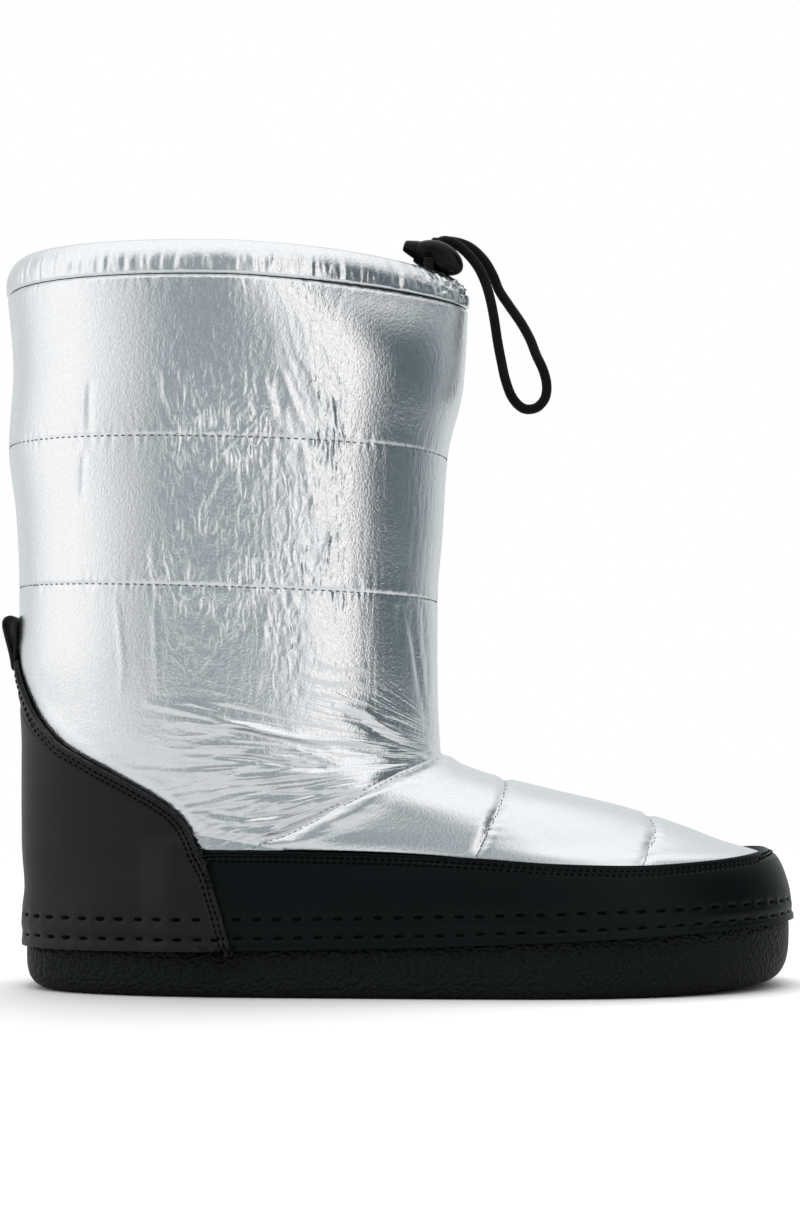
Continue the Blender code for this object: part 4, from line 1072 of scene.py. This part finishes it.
# Collar casing
# The top of the shaft is finished with a folded tube of the same foil fabric. The drawcord runs inside it, so it is
# gathered into fine pleats all round and pulled into deep folds under the cord lock at the front.
CASING_SECTION = [
    (-0.3, 0.0, 0.0), (0.6, 0.22, 0.0), (0.5, 0.48, 0.0), (-0.7, 0.75, 0.0), (-2.5, 0.93, 0.0), (-4.8, 1.0, 0.3),
    (-7.0, 0.93, 0.8), (-8.2, 0.70, 1.0), (-8.0, 0.30, 0.8), (-6.4, 0.0, 0.0),
]
CASING_HEIGHT, CASING_LEAN = 12.6, 0.8
CINCH_LEAN, CINCH_BUNCH = 5.0, 2.6
CINCH_FLAT, CINCH_SPAN = math.radians(8), math.radians(62)
CASING_COLUMNS, CASING_ROWS = 800, 44
CASING_CRINKLE, CASING_WORN = 0.12, 0.6


def closed_curve(values, share):
    """A smooth closed curve through the values, at a share of the way round it."""
    values = np.asarray(values, float)
    place = np.mod(share, 1) * len(values)
    i = place.astype(int)
    t = place - i
    a, b, c, d = (values[(i + k) % len(values)] for k in (-1, 0, 1, 2))
    return eased(a, b, c, d, t)


def casing_place(around, up):
    level = np.full(len(around), float(COLLAR_LEVEL))
    angle = angle_of(level, -around)
    turn = np.minimum(angle, 2 * np.pi - angle)
    pull = smooth_step(CINCH_SPAN - turn, 0, CINCH_SPAN - CINCH_FLAT)
    out, rise, bunch = (closed_curve([p[k] for p in CASING_SECTION], up) for k in range(3))
    rise = np.clip(rise, 0, None)
    lean = CASING_LEAN + CINCH_LEAN * pull
    flat = unit(skin_out(level, angle) * (1, 1, 0))
    base = skin_at(level, angle)
    reach = out - lean * rise - CINCH_BUNCH * pull * bunch
    points = base + flat * reach[:, None]
    points[:, 2] += SEAT_GAP + CASING_HEIGHT * rise
    rim, higher = base * (1, 1, 0), np.stack((0 * rise, 0 * rise, rise), axis=-1)
    gathers = crumple(rim + higher * 5, (1.7, 1.7, 5.0), 17.3)
    deep = crumple(rim + higher * 4, (4.2, 4.2, 9.0), 29.3)
    free = np.sin(np.pi * np.clip(rise, 0, 1)) ** 0.6
    low = np.exp(-((rise - 0.24) / 0.26) ** 2)
    folds = pleats(rim * (1 - 0.25 * rise[:, None]), (2.8, 2.8, 1.0), 37.1, 2.4)
    bunched = pull ** 3
    swell = (0.12 + 0.42 * low) * gathers + (0.3 + 0.5 * pull) * deep + 1.1 * bunched * folds
    points += flat * (free * swell)[:, None]
    points[:, 2] += free * bunched * (0.8 + 0.9 * folds)
    return points


def casing_crinkle(points):
    return np.full(len(points), CASING_CRINKLE), np.full(len(points), CASING_WORN), np.zeros((len(points), 3))


casing_mesh = fitted_grid(CASING_COLUMNS, CASING_ROWS, casing_place, casing_crinkle)
casing = make_piece("collar_casing_fold", casing_mesh, silver_foil, "boot")
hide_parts("collar_casing")

# Cord lock body
# A moulded black plastic bean, bored for its spring plunger and slotted across for the two strands of cord.
LOCK_CENTRE = Vector((150.9, -3.0, 263.6))
LOCK_TILT, LOCK_ROLL = math.radians(19), math.radians(-35)
LOCK_HALF = (10.2, 6.2, 5.0)
LOCK_FLAT_X, LOCK_BEND = -7.8, 0.016
LOCK_BORE_RADIUS, LOCK_BORE_END_X = 3.6, 5.4
LOCK_SLOT_X, LOCK_SLOT_LENGTH, LOCK_SLOT_WIDTH, LOCK_SLOT_ROUND = -2.6, 4.0, 8.5, 1.8
LOCK_EDGE = 0.3
lock_frame = (
    Matrix.Scale(MM, 4)
    @ Matrix.Translation(LOCK_CENTRE - Vector((HEEL_TO_ORIGIN, 0, 0)))
    @ Matrix.Rotation(LOCK_TILT, 4, "Y")
    @ Matrix.Rotation(LOCK_ROLL, 4, "X")
)
black_plastic = grained_finish(
    "black_plastic", (0.0010, 0.0010, 0.0013), (0.0018, 0.0018, 0.0022), (0.36, 0.28), 2400, 5200, 0.3, 0.00003,
    **{"Specular IOR Level": 0.2},
)
lock_shape = bmesh.new()
bmesh.ops.create_uvsphere(lock_shape, u_segments=48, v_segments=32, radius=1)
bmesh.ops.rotate(lock_shape, cent=(0, 0, 0), matrix=Matrix.Rotation(math.pi / 2, 3, "Y"), verts=lock_shape.verts)
bmesh.ops.scale(lock_shape, vec=LOCK_HALF, verts=lock_shape.verts)
sliced = bmesh.ops.bisect_plane(
    lock_shape, geom=[*lock_shape.verts, *lock_shape.edges, *lock_shape.faces], plane_co=(LOCK_FLAT_X, 0, 0),
    plane_no=(-1, 0, 0), clear_outer=True,
)
bmesh.ops.contextual_create(lock_shape, geom=[e for e in sliced["geom_cut"] if isinstance(e, bmesh.types.BMEdge)])
for vert in lock_shape.verts:
    vert.co.z -= LOCK_BEND * vert.co.x ** 2
bmesh.ops.recalc_face_normals(lock_shape, faces=lock_shape.faces)
bmesh.ops.transform(lock_shape, matrix=lock_frame, verts=lock_shape.verts)
lock = make_piece("cord_lock_bean", lock_shape, black_plastic, "boot")

bore_shape = bmesh.new()
bore_start = LOCK_FLAT_X - LOCK_HALF[0]
bmesh.ops.create_cone(
    bore_shape, cap_ends=True, segments=40, radius1=LOCK_BORE_RADIUS, radius2=LOCK_BORE_RADIUS,
    depth=LOCK_BORE_END_X - bore_start,
    matrix=lock_frame @ Matrix.Translation(((bore_start + LOCK_BORE_END_X) / 2, 0, 0))
    @ Matrix.Rotation(math.pi / 2, 4, "Y"),
)
cut_with(lock, bore_shape)
slot_shape = bmesh.new()
bmesh.ops.create_cube(
    slot_shape, size=1,
    matrix=lock_frame @ Matrix.Translation((LOCK_SLOT_X, 0, 0))
    @ Matrix.Diagonal((LOCK_SLOT_LENGTH, LOCK_SLOT_WIDTH, 4 * LOCK_HALF[2], 1)),
)
through = (lock_frame.to_3x3() @ Vector((0, 0, 1))).normalized()
slot_corners = [
    e for e in slot_shape.edges if abs((e.verts[0].co - e.verts[1].co).normalized().dot(through)) > 0.9
]
bmesh.ops.bevel(
    slot_shape, geom=slot_corners, offset=LOCK_SLOT_ROUND * MM, affect="EDGES", segments=4, profile=0.5, material=-1
)
cut_with(lock, slot_shape)
lock.data.set_sharp_from_angle(angle=math.radians(40))
softened = lock.modifiers.new("rounding", "BEVEL")
softened.width = LOCK_EDGE * MM
softened.segments = 2
softened.limit_method = "ANGLE"
softened.angle_limit = math.radians(45)
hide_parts("cord_lock_body")

# Cord lock plunger
# The spring button: a turned and flattened tip with a stem that slides in the body's bore.
PLUNGER_RADIUS, PLUNGER_TIP_RADIUS = 3.3, 2.1
PLUNGER_TIP_X, PLUNGER_END_X = -12.8, 1.0
PLUNGER_PROFILE = [
    (PLUNGER_TIP_X, 0.0), (PLUNGER_TIP_X, 1.2), (PLUNGER_TIP_X + 0.15, 1.7), (PLUNGER_TIP_X + 0.6, PLUNGER_TIP_RADIUS),
    (-10.4, 2.65), (LOCK_FLAT_X - 0.9, 3.15), (LOCK_FLAT_X - 0.3, PLUNGER_RADIUS), (PLUNGER_END_X, PLUNGER_RADIUS),
    (PLUNGER_END_X, 0.0),
]
plunger_shape = bmesh.new()
line = [plunger_shape.verts.new((x, 0, r)) for x, r in PLUNGER_PROFILE]
edges = [plunger_shape.edges.new(pair) for pair in zip(line, line[1:])]
bmesh.ops.spin(
    plunger_shape, geom=[*line, *edges], cent=(0, 0, 0), axis=(1, 0, 0), angle=2 * math.pi, steps=40, use_merge=True
)
bmesh.ops.remove_doubles(plunger_shape, verts=plunger_shape.verts, dist=0.01)
bmesh.ops.recalc_face_normals(plunger_shape, faces=plunger_shape.faces)
bmesh.ops.transform(plunger_shape, matrix=lock_frame, verts=plunger_shape.verts)
plunger = make_piece("cord_lock_button", plunger_shape, black_plastic, "plunger", sharp=40)
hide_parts("cord_lock_plunger")

# Drawcord
# A round braided black cord. Its two strands come up out of the casing, pass the lock side by side, and hang in one
# loop in front of the shaft.
CORD_DIAMETER = 3.6
STRAND_OFFSET, CORD_ENTRY = 2.25, 4.4
LEAD_FOOT_Z = 257.95
CORD_ROUTE = [
    (151.0, 1.0, 269.6), (154.0, 1.8, 270.6), (158.0, 2.0, 269.2), (162.3, 2.0, 265.6), (166.0, 2.0, 260.8),
    (168.6, 2.0, 255.2), (170.4, 2.1, 249.0), (171.8, 2.3, 241.8), (172.9, 2.5, 234.6), (174.3, 2.7, 227.2),
    (175.9, 2.8, 220.0), (178.4, 2.9, 213.6), (182.4, 3.0, 209.7), (187.0, 3.2, 209.9), (190.2, 3.4, 213.2),
    (191.0, 3.6, 218.0), (189.8, 3.9, 223.6), (187.2, 4.3, 229.4), (185.0, 4.8, 235.2), (181.8, 5.4, 241.2),
    (177.6, 5.8, 247.4), (173.8, 6.0, 253.2), (171.4, 6.0, 259.0), (168.0, 6.0, 264.6), (162.9, 5.9, 269.2),
    (157.0, 5.6, 271.1), (152.4, 4.8, 270.6),
]
BRAID_PLAITS, BRAID_LAY, BRAID_RELIEF = 8, 3.2, 0.16
CORD_SIDES, CORD_STEP = 32, 0.42
lock_turn = lock_frame.to_3x3().normalized()


def slot_mouth(side, height):
    """A point on a strand's line through the lock's slot."""
    return LOCK_CENTRE + lock_turn @ Vector((LOCK_SLOT_X, side * STRAND_OFFSET, height))


def braided_cord(path):
    """A closed tube along a path, its skin raised where the braid's plaits cross over."""
    along = unit(np.gradient(path, axis=0))
    sides = [unit(np.cross(along[0], (0, 1, 0) if abs(along[0][1]) < 0.9 else (1, 0, 0)))]
    for direction in along[1:]:
        sides.append(unit(sides[-1] - direction * (sides[-1] @ direction)))
    sides = np.array(sides)
    others = np.cross(along, sides)
    run = run_along(path)

    def place(around, up):
        i = np.rint(up * (len(path) - 1)).astype(int)
        turn = 2 * np.pi * around
        lay = 2 * np.pi * run[i] / BRAID_LAY
        half = BRAID_PLAITS / 2
        over = np.abs(np.sin(half * turn + lay / 2)), np.abs(np.sin(half * turn - lay / 2))
        radius = CORD_DIAMETER / 2 - BRAID_RELIEF * (1 - np.maximum(*over) ** 0.8)
        return path[i] + radius[:, None] * (np.cos(turn)[:, None] * sides[i] + np.sin(turn)[:, None] * others[i])

    shape = fitted_grid(CORD_SIDES, len(path) - 1, place)
    bmesh.ops.holes_fill(shape, edges=[e for e in shape.edges if e.is_boundary], sides=0)
    bmesh.ops.recalc_face_normals(shape, faces=shape.faces)
    return shape


black_cord = grained_finish(
    "black_cord", (0.0012, 0.0012, 0.0014), (0.0035, 0.0035, 0.0038), (0.85, 0.7), 2200, 5200, 0.7, 0.0001,
    **{"Specular IOR Level": 0.2, "Sheen Weight": 0.06},
)
for way, side in (("lateral", -1), ("medial", 1)):
    mouth = slot_mouth(side, -CORD_ENTRY)
    stops = [(mouth.x, mouth.y, z) for z in (mouth.z, (mouth.z + LEAD_FOOT_Z) / 2, LEAD_FOOT_Z)]
    lead_mesh = braided_cord(smooth_route(stops, CORD_STEP))
    lead = make_piece("cord_lead_" + way, lead_mesh, black_cord, "boot")
    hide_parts("drawcord_lead_" + way)
cord_path = smooth_route([slot_mouth(-1, CORD_ENTRY), *CORD_ROUTE, slot_mouth(1, CORD_ENTRY)], CORD_STEP)
cord_length = float(run_along(cord_path)[-1]) * MM
drawcord = make_piece("braided_drawcord", braided_cord(cord_path), black_cord, "boot")
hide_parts("drawcord_loop")
tuple(to_frame(cord_path[0]))
to_frame(cord_path).tolist()

# Studio
# A plain white floor inside a light tent: a broad white wall to the left, a narrower one front right with a black
# flag beside it, a grey front where the camera stands, a white roof, and one soft box overhead.
FLOOR_HALF, FLOOR_NEAR, FLOOR_FAR = 1.4, 0.2, 1.3
FLOOR_WHITE, FLOOR_BOUNCE = 0.92, 0.6
floor_shape = bmesh.new()
bmesh.ops.create_grid(floor_shape, x_segments=1, y_segments=1, size=FLOOR_HALF)
floor_mesh = bpy.data.meshes.new("floor")
floor_shape.to_mesh(floor_mesh)
floor_shape.free()
white_floor, paint = new_finish("white_floor")
seen = paint.add("LightPath").outputs["Is Camera Ray"]
place = paint.add("TexCoord").outputs["Object"]
reach = paint.add("VectorMath", operation="LENGTH", Vector=place).outputs["Value"]
paint.finish({
    "Base Color": paint.math("ADD", paint.math("MULTIPLY", seen, FLOOR_WHITE - FLOOR_BOUNCE), FLOOR_BOUNCE),
    "Roughness": 0.7,
    "Specular IOR Level": 0.2,
    "Alpha": paint.spread(reach, FLOOR_NEAR, FLOOR_FAR, 1.0, 0.0, interpolation_type="SMOOTHSTEP"),
})
floor_mesh.materials.append(white_floor)
floor = bpy.data.objects.new("floor", floor_mesh)
scene.collection.objects.link(floor)

# Brightness of the tent's walls by the angle from the camera, to the right when positive
WALLS = [
    (-180, 0.8), (-135, 0.8), (-118, 0.72), (-90, 1.08), (-55, 1.12), (-18, 0.37), (0, 0.37), (37, 1.25), (45.5, 1.5),
    (47.5, 0.13), (95, 0.2), (140, 0.75), (180, 0.8),
]
ROOF, ROOF_FROM, ROOF_FULL = 1.12, math.radians(33), math.radians(58)
COOL = (1.2, 1.05, 1.0)
tent = bpy.data.worlds.new("light_tent")
tent.use_nodes = True
scene.world = tent
sky = Bench(tent.node_tree)
parts = sky.add("SeparateXYZ", Vector=sky.add("TexCoord").outputs["Generated"]).outputs
bearing = sky.math("ARCTAN2", parts["X"], sky.math("MULTIPLY", parts["Y"], -1.0))
walls = sky.add("ValToRGB", Fac=sky.math("ADD", sky.math("DIVIDE", bearing, 2 * math.pi), 0.5))
for _ in WALLS[2:]:
    walls.color_ramp.elements.new(0.5)
for stop, (angle, bright) in zip(walls.color_ramp.elements, WALLS):
    stop.position = (angle + 180) / 360
    stop.color = (*(bright ** power for power in COOL), 1)
overhead = sky.spread(parts["Z"], math.sin(ROOF_FROM), math.sin(ROOF_FULL), 0.0, 1.0)
seen = sky.add("LightPath").outputs["Is Camera Ray"]
light = walls.outputs["Color"]
for share, colour in ((overhead, (ROOF, ROOF, ROOF, 1)), (seen, (1, 1, 1, 1))):
    light = sky.add("Mix", data_type="RGBA", Factor=share, A=light, B=colour).outputs["Result"]
sky.join(light, tent.node_tree.nodes["Background"].inputs["Color"])

BOX_PLACE, BOX_SIDE, BOX_RADIANCE = Vector((0.05, 0.25, 1.4)), 0.9, 5.0
soft_box = bpy.data.lights.new("overhead", "AREA")
soft_box.shape = "RECTANGLE"
soft_box.size = soft_box.size_y = BOX_SIDE
soft_box.energy = BOX_RADIANCE * math.pi * BOX_SIDE * BOX_SIDE
box = bpy.data.objects.new("overhead", soft_box)
box.location = BOX_PLACE
box.rotation_euler = (-BOX_PLACE).to_track_quat("-Z", "Y").to_euler()
box.visible_glossy = False
scene.collection.objects.link(box)
scene.view_settings.view_transform = "Standard"
